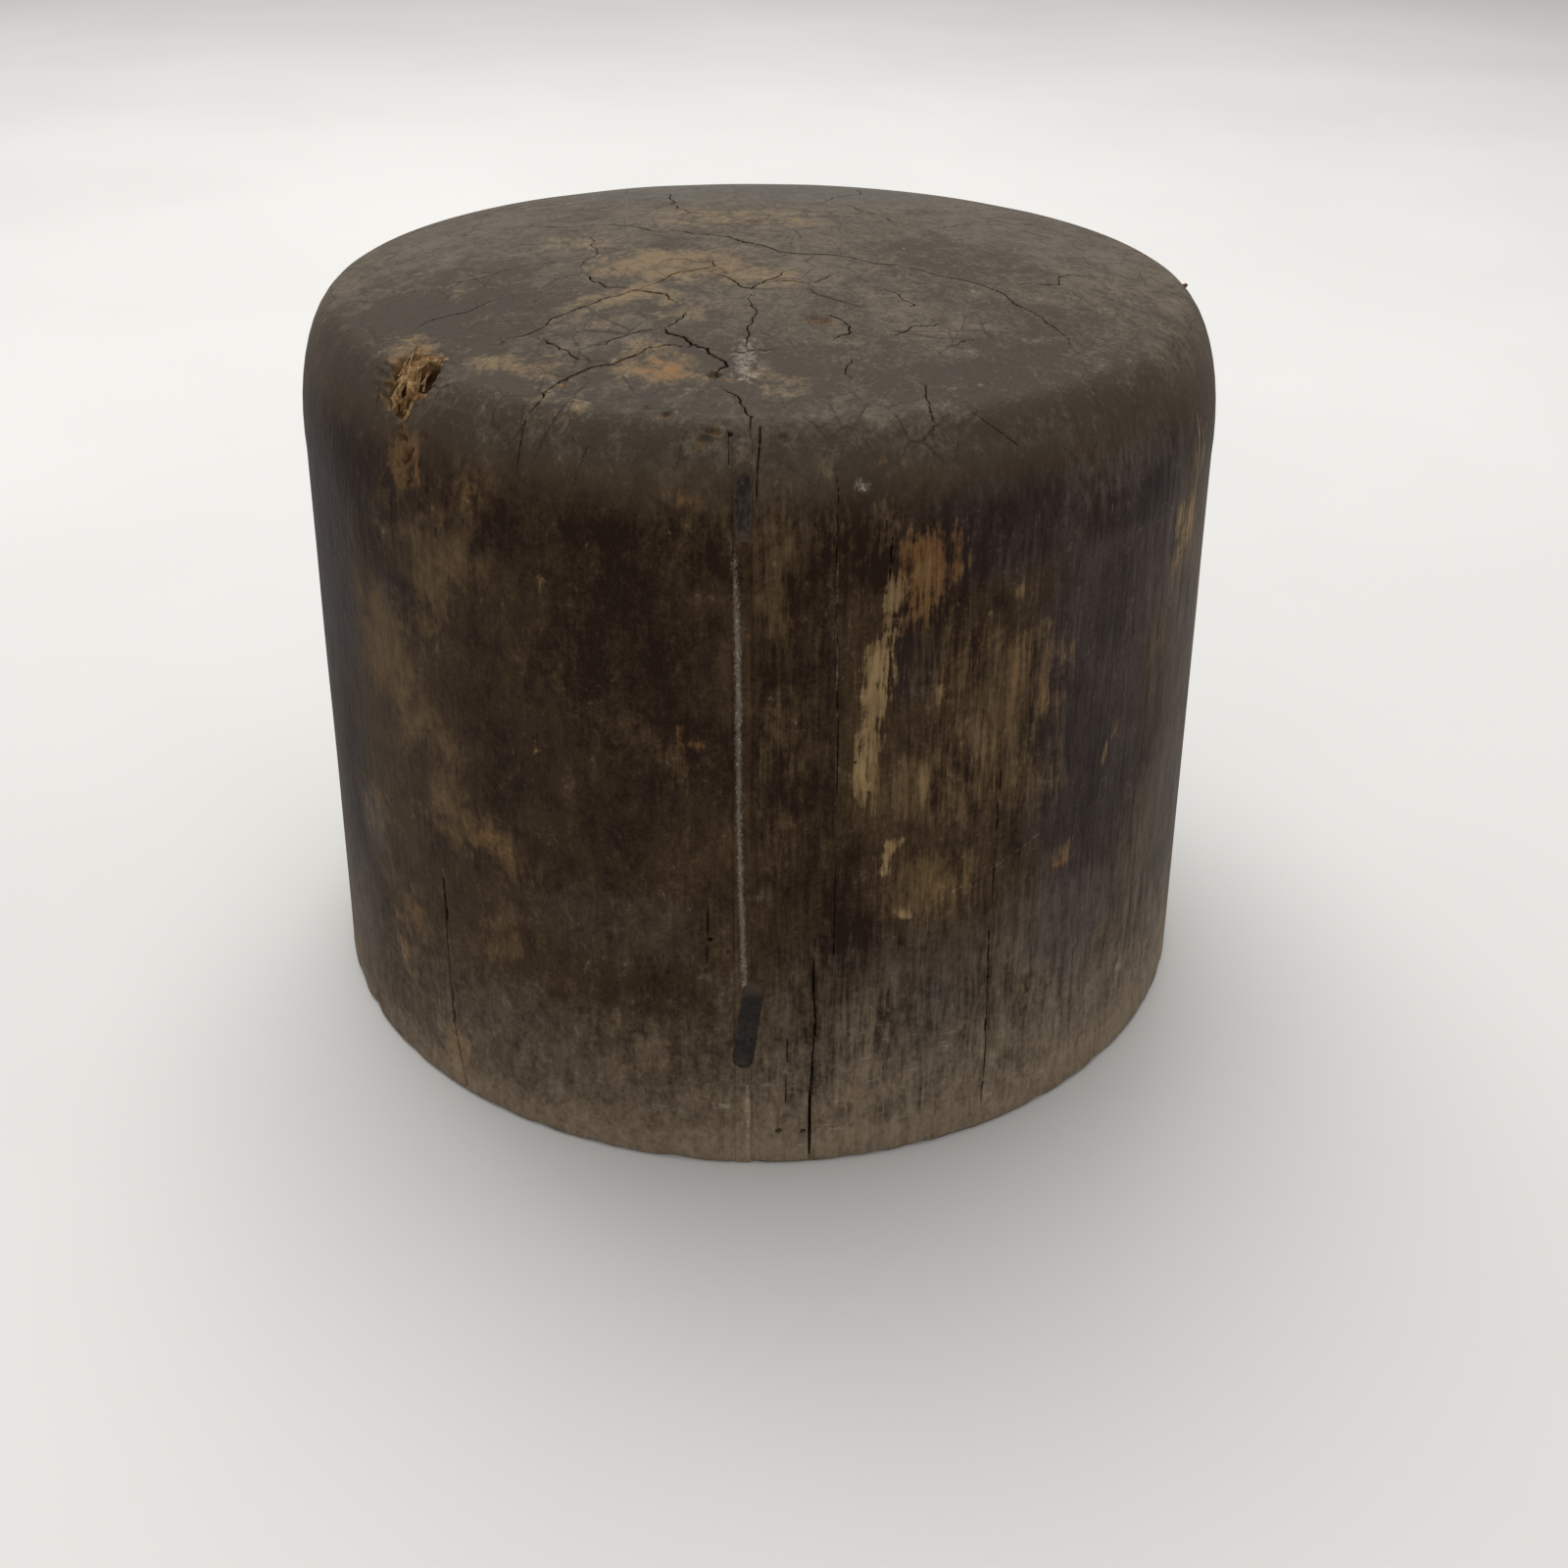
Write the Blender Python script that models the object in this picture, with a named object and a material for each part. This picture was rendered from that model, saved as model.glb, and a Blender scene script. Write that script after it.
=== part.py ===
"""Round wooden forming block with a domed crown, for Blender 4.5. Metres, +Z up.

The block stands on its flat base at z = 0, centred on the Z axis. Its front, with the filled
centre line, faces -Y. The other pieces are let into it: the strip that fills the centre line,
two pitch fills over the strip, a decayed knot and a broken nail in the shoulder, and, under
the base, the iron flange that takes the spindle of a work stand, with its four screws.
"""

import math

import bmesh
import bpy
from mathutils import Matrix, Vector

# The block
BLOCK_HEIGHT = 0.148
BASE_RADIUS = 0.093  # along X
SHOULDER_RADIUS = 0.0854  # along X, where the corner starts
DEPTH_RATIO = 0.935  # the log dried slightly oval, so it is shallower along Y
FOOT_EDGE = 0.0008  # the foot is worn back by this much
CORNER_RISE = 0.0257
CORNER_REACH = 0.0099
CORNER_POWER = 1.9
CROWN_RISE = 0.0075
SHOULDER_HEIGHT = BLOCK_HEIGHT - CROWN_RISE - CORNER_RISE
CROWN_RADIUS = SHOULDER_RADIUS - CORNER_REACH
BLOCK_SIDES = 72
CORNER_STEPS, CROWN_STEPS = 9, 6

# Fits
GAP = 0.0003  # between neighbours that touch
OVERSHOOT = 0.003  # how far a cutter stands out of what it cuts

# The strip that fills the centre line
LINE_WIDTH = 0.0032
LINE_DEPTH = 0.009  # under the wall at the shoulder
LINE_RECESS = 0.0005  # the strip's face lies this far under the wall

# The pitch fills: centre across and up, width, length and lean
UPPER_FILL = dict(x=0.0, z=0.1305, width=0.0034, length=0.0110, lean=0.0)
LOWER_FILL = dict(x=0.0005, z=0.0333, width=0.0040, length=0.0193, lean=math.radians(4))
FILL_DEPTH = 0.0035
FILL_RECESS = 0.0003

# The decayed knot in the left shoulder. Angles turn from the front, -Y, towards +X
KNOT_ANGLE = math.radians(-42.7)
KNOT_HEIGHT = 0.1392
KNOT_RADIUS = 0.0052
KNOT_TIP_RADIUS = 0.0034
KNOT_LENGTH = 0.015
KNOT_RECESS = 0.0016

# The broken nail in the right shoulder
NAIL_ANGLE = math.radians(93)
NAIL_HEIGHT = 0.1389
NAIL_RADIUS = 0.0008
NAIL_TIP_RADIUS = 0.0004
NAIL_LENGTH = 0.014
NAIL_STANDS_OUT = 0.0014

# The two tack holes at the foot
TACK_ANGLES = (math.radians(3.8), math.radians(6.9))
TACK_HEIGHT = 0.0080
TACK_HOLE_RADIUS = 0.0006
TACK_HOLE_DEPTH = 0.006

# The iron flange for the stand's spindle
FLANGE_RADIUS = 0.039
FLANGE_THICKNESS = 0.004
FLANGE_RECESS = 0.0005
FLANGE_EDGE = 0.0006  # chamfer of the rim
HUB_RADIUS = 0.0180
HUB_HEIGHT = 0.030
SOCKET_RADIUS = 0.0130  # for a one-inch spindle
SOCKET_LEAD_IN = 0.0010
SOCKET_DEPTH = 0.055

# Its countersunk wood screws
SCREW_CIRCLE = 0.0285
SCREW_COUNT = 4
SCREW_RADIUS = 0.0020
SCREW_TIP_RADIUS = 0.0005
SCREW_HEAD_RADIUS = 0.0042
SCREW_HEAD_RIM = 0.0003
SCREW_HEAD_DEPTH = 0.0026
SCREW_POINT = 0.004  # the tapered end
SCREW_LENGTH = 0.018
SCREW_SLOT_WIDTH = 0.0010
SCREW_SLOT_DEPTH = 0.0010
SCREW_SLOT_TURN = math.radians(50)  # how far each slot is turned from the one before

FINISHES = {
    "old_wood": ((0.075, 0.048, 0.030, 1.0), 0.62, 0.0),
    "strip_wood": ((0.110, 0.082, 0.056, 1.0), 0.70, 0.0),
    "pitch": ((0.022, 0.020, 0.020, 1.0), 0.45, 0.0),
    "decayed_wood": ((0.210, 0.110, 0.050, 1.0), 0.90, 0.0),
    "rusty_iron": ((0.085, 0.040, 0.022, 1.0), 0.75, 0.6),
    "cast_iron": ((0.060, 0.057, 0.055, 1.0), 0.55, 0.8),
}


def finish(name):
    """The named material, made the first time that it is asked for."""
    found = bpy.data.materials.get(name)
    if found:
        return found
    colour, roughness, metallic = FINISHES[name]
    made = bpy.data.materials.new(name)
    made.use_nodes = True
    shader = made.node_tree.nodes["Principled BSDF"]
    shader.inputs["Base Color"].default_value = colour
    shader.inputs["Roughness"].default_value = roughness
    shader.inputs["Metallic"].default_value = metallic
    return made


def add_object(name, shape, finish_name=None, at=(0, 0, 0), along=(0, 0, 1)):
    """An object from a bmesh, its origin at a point and its +Z along a direction.

    Without a finish it is a cutter or a guide, which only shapes the other objects.
    """
    mesh = bpy.data.meshes.new(name)
    bmesh.ops.recalc_face_normals(shape, faces=shape.faces)
    shape.to_mesh(mesh)
    shape.free()
    thing = bpy.data.objects.new(name, mesh)
    thing.location = at
    thing.rotation_mode = "QUATERNION"
    thing.rotation_quaternion = Vector((0, 0, 1)).rotation_difference(Vector(along))
    bpy.context.scene.collection.objects.link(thing)
    if finish_name:
        mesh.materials.append(finish(finish_name))
        mesh.shade_smooth()
        mesh.set_sharp_from_angle(angle=math.radians(35))
    else:
        thing.hide_render = True
        thing.display_type = "WIRE"
    return thing


def combine(target, other, operation="DIFFERENCE"):
    """A Boolean of the target with another object, left live on the target."""
    modifier = target.modifiers.new(other.name, "BOOLEAN")
    modifier.operation = operation
    modifier.solver = "EXACT"
    modifier.object = other


def turned(outline, sides, depth_ratio=1.0):
    """A bmesh turned round Z from a closed outline of (radius, height)."""
    shape = bmesh.new()
    corners = [shape.verts.new((radius, 0, height)) for radius, height in outline]
    edges = [shape.edges.new(pair) for pair in zip(corners, corners[1:] + corners[:1])]
    full_turn = dict(cent=(0, 0, 0), axis=(0, 0, 1), angle=2 * math.pi, steps=sides)
    bmesh.ops.spin(shape, geom=corners + edges, use_merge=True, **full_turn)
    bmesh.ops.remove_doubles(shape, verts=shape.verts, dist=1e-6)
    on_axis = [edge for edge in shape.edges if not edge.link_faces]
    bmesh.ops.delete(shape, geom=on_axis, context="EDGES")
    bmesh.ops.scale(shape, vec=(1, depth_ratio, 1), verts=shape.verts)
    return shape


def box(width, depth, height):
    """A bmesh box centred on X and Y, standing on z = 0."""
    shape = bmesh.new()
    bmesh.ops.create_cube(shape, size=1)
    bmesh.ops.translate(shape, vec=(0, 0, 0.5), verts=shape.verts)
    bmesh.ops.scale(shape, vec=(width, depth, height), verts=shape.verts)
    return shape


def rod(radius, tip_radius, length, start=0.0, sides=12):
    """A bmesh rod along +Z, from a height on the axis to its narrower tip."""
    shape = bmesh.new()
    size = dict(radius1=radius, radius2=tip_radius, depth=length)
    bmesh.ops.create_cone(shape, cap_ends=True, segments=sides, **size)
    bmesh.ops.translate(shape, vec=(0, 0, start + length / 2), verts=shape.verts)
    return shape


def wall_radius(height):
    """The block's radius along X at a height up the wall or the corner."""
    if height <= SHOULDER_HEIGHT:
        return BASE_RADIUS + (SHOULDER_RADIUS - BASE_RADIUS) * height / SHOULDER_HEIGHT
    up = (height - SHOULDER_HEIGHT) / CORNER_RISE
    across = (1 - up**CORNER_POWER) ** (1 / CORNER_POWER)
    return CROWN_RADIUS + CORNER_REACH * across


def block_outline(inset=0.0):
    """The closed outline of the block's outside, or of the same shape set in and down."""
    points = [(BASE_RADIUS - FOOT_EDGE, 0), (wall_radius(FOOT_EDGE), FOOT_EDGE)]
    for step in range(CORNER_STEPS + 1):
        angle = math.pi / 2 * step / CORNER_STEPS
        across = math.cos(angle) ** (2 / CORNER_POWER)
        up = math.sin(angle) ** (2 / CORNER_POWER)
        points.append((CROWN_RADIUS + CORNER_REACH * across, SHOULDER_HEIGHT + CORNER_RISE * up))
    for step in range(1, CROWN_STEPS):
        t = 1 - step / CROWN_STEPS
        points.append((CROWN_RADIUS * t, BLOCK_HEIGHT - CROWN_RISE * t * t))
    outside = [(radius - inset, height - inset) for radius, height in points]
    return [(0, -inset)] + outside + [(0, BLOCK_HEIGHT - inset)]


def turned_block(inset=0.0):
    return turned(block_outline(inset), BLOCK_SIDES, DEPTH_RATIO)


def surface_point(angle, height):
    """A point of the wall or the corner, at an angle from the front towards +X."""
    radius = wall_radius(height)
    return Vector((radius * math.sin(angle), -DEPTH_RATIO * radius * math.cos(angle), height))


def into_surface(angle, height, step=0.0002):
    """The direction straight into the wall or the corner at such a point."""
    here = surface_point(angle, height)
    sideways = surface_point(angle + step, height) - here
    upwards = surface_point(angle, height + step) - here
    return -sideways.cross(upwards).normalized()


def make_front_strip(block):
    """The slot down the front, running out over the shoulder, and the strip that fills it."""
    slot_floor = LINE_DEPTH - DEPTH_RATIO * SHOULDER_RADIUS
    in_front = -BASE_RADIUS - OVERSHOOT
    slot = box(LINE_WIDTH, slot_floor - in_front, BLOCK_HEIGHT + 2 * OVERSHOOT)
    middle = (slot_floor + in_front) / 2
    combine(block, add_object("line_slot_cutter", slot, at=(0, middle, -OVERSHOOT)))

    strip_back = slot_floor - GAP
    bar = box(LINE_WIDTH - 2 * GAP, strip_back - in_front, BLOCK_HEIGHT)
    middle = (strip_back + in_front) / 2
    strip = add_object("front_strip", bar, "strip_wood", at=(0, middle, 0))
    guide = add_object("strip_face_guide", turned_block(LINE_RECESS))
    combine(strip, guide, "INTERSECT")
    return strip


def fill_shape(fill, depth, grow):
    """A fill's round-ended slot shape in place, its inner end at a depth under the wall."""
    radius = fill["width"] / 2 + grow
    straight = (fill["length"] - fill["width"]) / 2
    shape = bmesh.new()
    rim = []
    for end, turn in ((straight, 0), (-straight, math.pi)):
        for step in range(9):
            angle = turn + math.pi * step / 8
            spot = (radius * math.cos(angle), 0, end + radius * math.sin(angle))
            rim.append(shape.verts.new(spot))
    extruded = bmesh.ops.extrude_face_region(shape, geom=[shape.faces.new(rim)])
    back = [part for part in extruded["geom"] if isinstance(part, bmesh.types.BMVert)]
    bmesh.ops.translate(shape, vec=(0, OVERSHOOT + depth, 0), verts=back)
    bmesh.ops.rotate(shape, matrix=Matrix.Rotation(fill["lean"], 3, "Y"), verts=shape.verts)
    wall = surface_point(0, fill["z"]).y
    place = (fill["x"], wall - OVERSHOOT, fill["z"])
    bmesh.ops.translate(shape, vec=place, verts=shape.verts)
    return shape


def make_pitch_fill(name, fill, strip, block):
    """A pocket across the strip and the block, and the pitch that fills it."""
    pocket = add_object(name + "_cutter", fill_shape(fill, FILL_DEPTH, GAP))
    combine(block, pocket)
    combine(strip, pocket)
    plug = add_object(name, fill_shape(fill, FILL_DEPTH - GAP, 0), "pitch")
    guide = add_object(name + "_guide", turned_block(FILL_RECESS))
    combine(plug, guide, "INTERSECT")


def make_knot(block):
    """The dead knot in the left shoulder, sunk in its tapered hole."""
    place = surface_point(KNOT_ANGLE, KNOT_HEIGHT)
    inward = into_surface(KNOT_ANGLE, KNOT_HEIGHT)
    taper = (KNOT_RADIUS - KNOT_TIP_RADIUS) / KNOT_LENGTH
    hole_length = OVERSHOOT + KNOT_RECESS + KNOT_LENGTH + GAP
    hole_radius = KNOT_TIP_RADIUS + GAP + taper * hole_length
    hole = rod(hole_radius, KNOT_TIP_RADIUS + GAP, hole_length, -OVERSHOOT, 20)
    combine(block, add_object("knot_cutter", hole, at=place, along=inward))
    knot = rod(KNOT_RADIUS, KNOT_TIP_RADIUS, KNOT_LENGTH, KNOT_RECESS, 20)
    add_object("decayed_knot", knot, "decayed_wood", place, inward)


def make_nail(block):
    """The broken nail that stands out of the right shoulder."""
    place = surface_point(NAIL_ANGLE, NAIL_HEIGHT)
    inward = into_surface(NAIL_ANGLE, NAIL_HEIGHT)
    reach = NAIL_RADIUS + GAP
    hole_length = OVERSHOOT + NAIL_LENGTH - NAIL_STANDS_OUT + GAP
    hole = rod(reach, reach, hole_length, -OVERSHOOT)
    combine(block, add_object("nail_cutter", hole, at=place, along=inward))
    nail = rod(NAIL_RADIUS, NAIL_TIP_RADIUS, NAIL_LENGTH, -NAIL_STANDS_OUT)
    add_object("shoulder_nail", nail, "rusty_iron", place, inward)


def make_tack_holes(block):
    """The two empty tack holes at the foot, just right of the centre line."""
    for number, angle in enumerate(TACK_ANGLES, 1):
        place = surface_point(angle, TACK_HEIGHT)
        inward = into_surface(angle, TACK_HEIGHT)
        depth = OVERSHOOT + TACK_HOLE_DEPTH
        hole = rod(TACK_HOLE_RADIUS, TACK_HOLE_RADIUS, depth, -OVERSHOOT, 8)
        cutter = add_object(f"tack_hole_{number}_cutter", hole, at=place, along=inward)
        combine(block, cutter)


def make_flange(block):
    """The round iron plate with its hub, let into the underside of the block."""
    plate_top = FLANGE_RECESS + FLANGE_THICKNESS
    outline = [
        (SOCKET_RADIUS + SOCKET_LEAD_IN, FLANGE_RECESS),
        (FLANGE_RADIUS - FLANGE_EDGE, FLANGE_RECESS),
        (FLANGE_RADIUS, FLANGE_RECESS + FLANGE_EDGE),
        (FLANGE_RADIUS, plate_top),
        (HUB_RADIUS, plate_top),
        (HUB_RADIUS, HUB_HEIGHT),
        (SOCKET_RADIUS, HUB_HEIGHT),
        (SOCKET_RADIUS, FLANGE_RECESS + SOCKET_LEAD_IN),
    ]
    flange = add_object("spindle_flange", turned(outline, 48), "cast_iron")
    seat = [
        (0, -OVERSHOOT),
        (FLANGE_RADIUS + GAP, -OVERSHOOT),
        (FLANGE_RADIUS + GAP, plate_top + GAP),
        (HUB_RADIUS + GAP, plate_top + GAP),
        (HUB_RADIUS + GAP, HUB_HEIGHT + GAP),
        (SOCKET_RADIUS + GAP, HUB_HEIGHT + GAP),
        (SOCKET_RADIUS + GAP, SOCKET_DEPTH),
        (0, SOCKET_DEPTH),
    ]
    combine(block, add_object("flange_seat_cutter", turned(seat, 48)))
    return flange


def screw_shape(grow=0.0, above=0.0):
    """A countersunk wood screw, point up, its head's face at z = 0, or the hole for one."""
    head = SCREW_HEAD_RADIUS + grow
    shank = SCREW_RADIUS + grow
    outline = [
        (0, -above),
        (head, -above),
        (head, SCREW_HEAD_RIM),
        (shank, SCREW_HEAD_DEPTH),
        (shank, SCREW_LENGTH - SCREW_POINT),
        (SCREW_TIP_RADIUS + grow, SCREW_LENGTH + grow),
        (0, SCREW_LENGTH + grow),
    ]
    return turned(outline, 16)


def make_screws(block, flange):
    """The four slotted screws, with their holes through the flange into the block."""
    head_level = FLANGE_RECESS + GAP
    for number in range(SCREW_COUNT):
        angle = (number + 0.5) * 2 * math.pi / SCREW_COUNT
        x, y = SCREW_CIRCLE * math.cos(angle), SCREW_CIRCLE * math.sin(angle)
        name = f"flange_screw_{number + 1}"
        hole = add_object(name + "_hole_cutter", screw_shape(GAP, OVERSHOOT), at=(x, y, head_level))
        combine(flange, hole)
        combine(block, hole)
        screw = add_object(name, screw_shape(), "rusty_iron", (x, y, head_level))
        slot = box(4 * SCREW_HEAD_RADIUS, SCREW_SLOT_WIDTH, OVERSHOOT + SCREW_SLOT_DEPTH)
        slot_turn = Matrix.Rotation(number * SCREW_SLOT_TURN, 3, "Z")
        bmesh.ops.rotate(slot, matrix=slot_turn, verts=slot.verts)
        at = (x, y, head_level - OVERSHOOT)
        combine(screw, add_object(name + "_slot_cutter", slot, at=at))


for thing in list(bpy.data.objects):
    bpy.data.objects.remove(thing)

block = add_object("block_body", turned_block(), "old_wood")
strip = make_front_strip(block)
make_pitch_fill("upper_pitch_fill", UPPER_FILL, strip, block)
make_pitch_fill("lower_pitch_fill", LOWER_FILL, strip, block)
make_knot(block)
make_nail(block)
make_tack_holes(block)
flange = make_flange(block)
make_screws(block, flange)
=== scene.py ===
import math
import random

import bpy
import numpy as np
from mathutils import Matrix, Vector, noise


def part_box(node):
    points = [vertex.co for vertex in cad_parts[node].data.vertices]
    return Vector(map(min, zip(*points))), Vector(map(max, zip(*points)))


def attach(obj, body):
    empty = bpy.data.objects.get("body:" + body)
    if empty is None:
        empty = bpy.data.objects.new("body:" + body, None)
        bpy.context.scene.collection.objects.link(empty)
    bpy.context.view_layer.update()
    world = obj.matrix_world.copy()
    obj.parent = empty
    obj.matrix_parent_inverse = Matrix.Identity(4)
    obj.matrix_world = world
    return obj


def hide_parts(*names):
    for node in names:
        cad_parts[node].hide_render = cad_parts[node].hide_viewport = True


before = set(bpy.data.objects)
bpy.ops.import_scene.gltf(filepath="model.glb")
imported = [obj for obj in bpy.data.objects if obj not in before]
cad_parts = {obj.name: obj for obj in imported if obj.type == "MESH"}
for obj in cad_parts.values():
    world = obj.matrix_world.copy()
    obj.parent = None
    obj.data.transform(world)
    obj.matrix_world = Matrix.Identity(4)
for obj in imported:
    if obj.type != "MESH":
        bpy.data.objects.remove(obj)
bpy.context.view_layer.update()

mm = 0.001
farOff = 6.0  # as far as the masks of the checks and of the pale lines count, in half widths
chance = random.Random(41)


def clearSelection():
    if bpy.context.object and bpy.context.object.mode != "OBJECT":
        bpy.ops.object.mode_set(mode="OBJECT")
    bpy.ops.object.select_all(action="DESELECT")


def pointsOf(piece):
    flat = np.empty(len(piece.data.vertices) * 3)
    piece.data.vertices.foreach_get("co", flat)
    return flat.reshape(-1, 3)


def movePoints(piece, points):
    piece.data.vertices.foreach_set("co", np.ascontiguousarray(points).ravel())
    piece.data.update()


def normalsOf(piece):
    flat = np.empty(len(piece.data.vertices) * 3)
    piece.data.vertex_normals.foreach_get("vector", flat)
    return flat.reshape(-1, 3)


def addMask(piece, name, values):
    layer = piece.data.attributes.new(name, "FLOAT", "POINT")
    layer.data.foreach_set("value", np.ascontiguousarray(values, dtype=np.float32))


def applyModifier(piece, kind, **settings):
    bpy.context.view_layer.objects.active = piece
    modifier = piece.modifiers.new(kind.lower(), kind)
    for key, value in settings.items():
        setattr(modifier, key, value)
    bpy.ops.object.modifier_apply(modifier=modifier.name)


def giveMaterial(piece, material):
    piece.data.materials.clear()
    piece.data.materials.append(material)


def turnTo(direction):
    # turns rows of points so that their Z runs along a direction
    return np.array(Vector(direction).to_track_quat("Z", "Y").to_matrix()).T


def facesOutward(piece):
    clearSelection()
    piece.select_set(True)
    bpy.context.view_layer.objects.active = piece
    bpy.ops.object.mode_set(mode="EDIT")
    bpy.ops.mesh.select_all(action="SELECT")
    bpy.ops.mesh.normals_make_consistent(inside=False)
    bpy.ops.object.mode_set(mode="OBJECT")


def finishPiece(piece, name, material, replaced, sharpAngle=50):
    clearSelection()
    piece.select_set(True)
    bpy.context.view_layer.objects.active = piece
    bpy.ops.object.shade_smooth_by_angle(angle=math.radians(sharpAngle))
    piece.name = name
    piece.data.name = name
    giveMaterial(piece, material)
    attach(piece, "root")
    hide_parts(replaced)


def smoothStep(low, high, value):
    t = np.clip((value - low) / (high - low), 0, 1)
    return t * t * (3 - 2 * t)


def noiseAt(points, size, stretch=1.0, seed=0.0):
    # soft noise from -1 to 1, one lump for each size in metres, drawn out along Z by stretch
    scale = 1 / size
    flow = [noise.noise((p[0] * scale + seed, p[1] * scale - seed, p[2] * scale / stretch)) for p in points]
    return np.array(flow)


# a shader socket that can be added, subtracted and multiplied
class Wire:
    def __init__(self, recipe, socket):
        self.recipe, self.socket = recipe, socket

    def maths(self, how, other, flipped=False):
        first, second = (other, self) if flipped else (self, other)
        return self.recipe.add("ShaderNodeMath", {"operation": how}, {0: first, 1: second})

    def __add__(self, other):
        return self.maths("ADD", other)

    def __sub__(self, other):
        return self.maths("SUBTRACT", other)

    def __rsub__(self, other):
        return self.maths("SUBTRACT", other, True)

    def __mul__(self, other):
        return self.maths("MULTIPLY", other)

    __radd__ = __add__
    __rmul__ = __mul__


class Recipe:
    def __init__(self, name, **constants):
        self.material = bpy.data.materials.new(name)
        self.material.use_nodes = True
        self.nodes = self.material.node_tree.nodes
        self.shader = self.nodes["Principled BSDF"]
        for key, value in constants.items():
            self.shader.inputs[key.replace("_", " ")].default_value = value
        self.place = self.add("ShaderNodeTexCoord", {}, {}, "Object")

    def add(self, kind, settings, sockets, result=0):
        node = self.nodes.new(kind)
        for key, value in settings.items():
            if key == "stops":
                while len(node.color_ramp.elements) < len(value):
                    node.color_ramp.elements.new(0.5)
                for element, (position, colour) in zip(node.color_ramp.elements, value):
                    element.position, element.color = position, (*colour, 1)
            else:
                setattr(node, key, value)
        for key, value in sockets.items():
            if isinstance(value, Wire):
                self.material.node_tree.links.new(value.socket, node.inputs[key])
            else:
                node.inputs[key].default_value = value
        return Wire(self, node.outputs[result])

    def mask(self, name):
        return self.add("ShaderNodeAttribute", {"attribute_name": name}, {}, "Fac")

    def scaled(self, size, stretch=1.0, shift=0.0):
        # object coordinates, one unit for each size in metres, drawn out along Z by stretch
        across, up = 1 / size, 1 / (size * stretch)
        sockets = {"Vector": self.place, "Location": (shift, shift * 0.7, shift * 1.3),
                   "Scale": (across, across, up)}
        return self.add("ShaderNodeMapping", {}, sockets)

    def wave(self, size, stretch=1.0, shift=0.0, detail=4.0, roughness=0.55, distortion=0.0):
        # noise about zero, mostly between -1 and 1
        sockets = {"Vector": self.scaled(size, stretch, shift), "Scale": 1.0, "Detail": detail,
                   "Roughness": roughness, "Distortion": distortion}
        return (self.add("ShaderNodeTexNoise", {}, sockets, "Fac") - 0.5) * 4.5

    def step(self, value, low, high):
        sockets = {"Value": value, "From Min": low, "From Max": high}
        return self.add("ShaderNodeMapRange", {"interpolation_type": "SMOOTHSTEP"}, sockets)

    def blend(self, factor, first, second):
        # sockets 6 and 7 take the colours, and output 2 gives one
        first = (*first, 1) if isinstance(first, tuple) else first
        second = (*second, 1) if isinstance(second, tuple) else second
        return self.add("ShaderNodeMix", {"data_type": "RGBA"}, {0: factor, 6: first, 7: second}, 2)

    def ramp(self, value, *stops):
        return self.add("ShaderNodeValToRGB", {"stops": stops}, {0: value}, "Color")

    def finish(self, colour, roughness, height=None):
        # height is the relief in millimetres
        links = self.material.node_tree.links
        links.new(colour.socket, self.shader.inputs["Base Color"])
        links.new(roughness.socket, self.shader.inputs["Roughness"])
        if height:
            bump = self.add("ShaderNodeBump", {}, {"Strength": 1.0, "Distance": mm, "Height": height})
            links.new(bump.socket, self.shader.inputs["Normal"])
        return self.material


# the block's outside: a turned profile on a slightly oval log
lowCorner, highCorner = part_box("block_body")
block = {
    "height": highCorner.z,
    "footRadius": (highCorner.x - lowCorner.x) / 2,
    "depthRatio": (highCorner.y - lowCorner.y) / (highCorner.x - lowCorner.x),
    "shoulderRadius": 0.0854,
    "cornerRise": 0.0257,
    "cornerReach": 0.0099,
    "cornerPower": 1.9,
    "crownRise": 0.0075,
    "ringSpacing": 0.0028,
    "cornerRings": 12,
    "baseRings": 18,
    "sides": 194,
    "footEdge": [(0.05, 0.9), (0.35, 0.25), (1.0, 0.0)],  # its rounding: millimetres inwards and up
    "refineReach": [2.0, 0.95, 0.42, 0.15],  # millimetres round the details, for each split of the faces
    "unevenness": 0.00022,
    "nibbled": 0.0008,  # at the foot
    "checkLip": 0.00005,
    "slotDepth": 0.0012,
}
baseHollow = {
    "gap": 0.0003,  # round the iron flange
    "seatDepth": 0.0048,
    "hubRadius": 0.0183,
    "hubDepth": 0.0303,
    "socketRadius": 0.0133,
    "socketDepth": 0.055,
}
ratio = block["depthRatio"]
shoulderHeight = block["height"] - block["crownRise"] - block["cornerRise"]
crownRadius = block["shoulderRadius"] - block["cornerReach"]


def profileRadius(height):
    # radius along X up the wall and the corner
    height = np.asarray(height, float)
    t = np.clip(height / shoulderHeight, 0, 1)
    wall = block["footRadius"] + (block["shoulderRadius"] - block["footRadius"]) * t
    up = np.clip((height - shoulderHeight) / block["cornerRise"], 0, 1)
    power = block["cornerPower"]
    across = (1 - up ** power) ** (1 / power)
    return np.where(height <= shoulderHeight, wall, crownRadius + block["cornerReach"] * across)


def profileHeight(radius):
    # height of the crown and the corner over a radius along X
    radius = np.asarray(radius, float)
    crown = block["height"] - block["crownRise"] * (radius / crownRadius) ** 2
    across = np.clip((radius - crownRadius) / block["cornerReach"], 0, 1)
    power = block["cornerPower"]
    corner = shoulderHeight + block["cornerRise"] * (1 - across ** power) ** (1 / power)
    return np.where(radius <= crownRadius, crown, corner)


def onWall(angle, height):
    # a point of the wall: degrees from the front towards +X, and millimetres up
    turn = math.radians(angle)
    radius = float(profileRadius(height * mm))
    return np.array((radius * math.sin(turn), -ratio * radius * math.cos(turn), height * mm))


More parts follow.
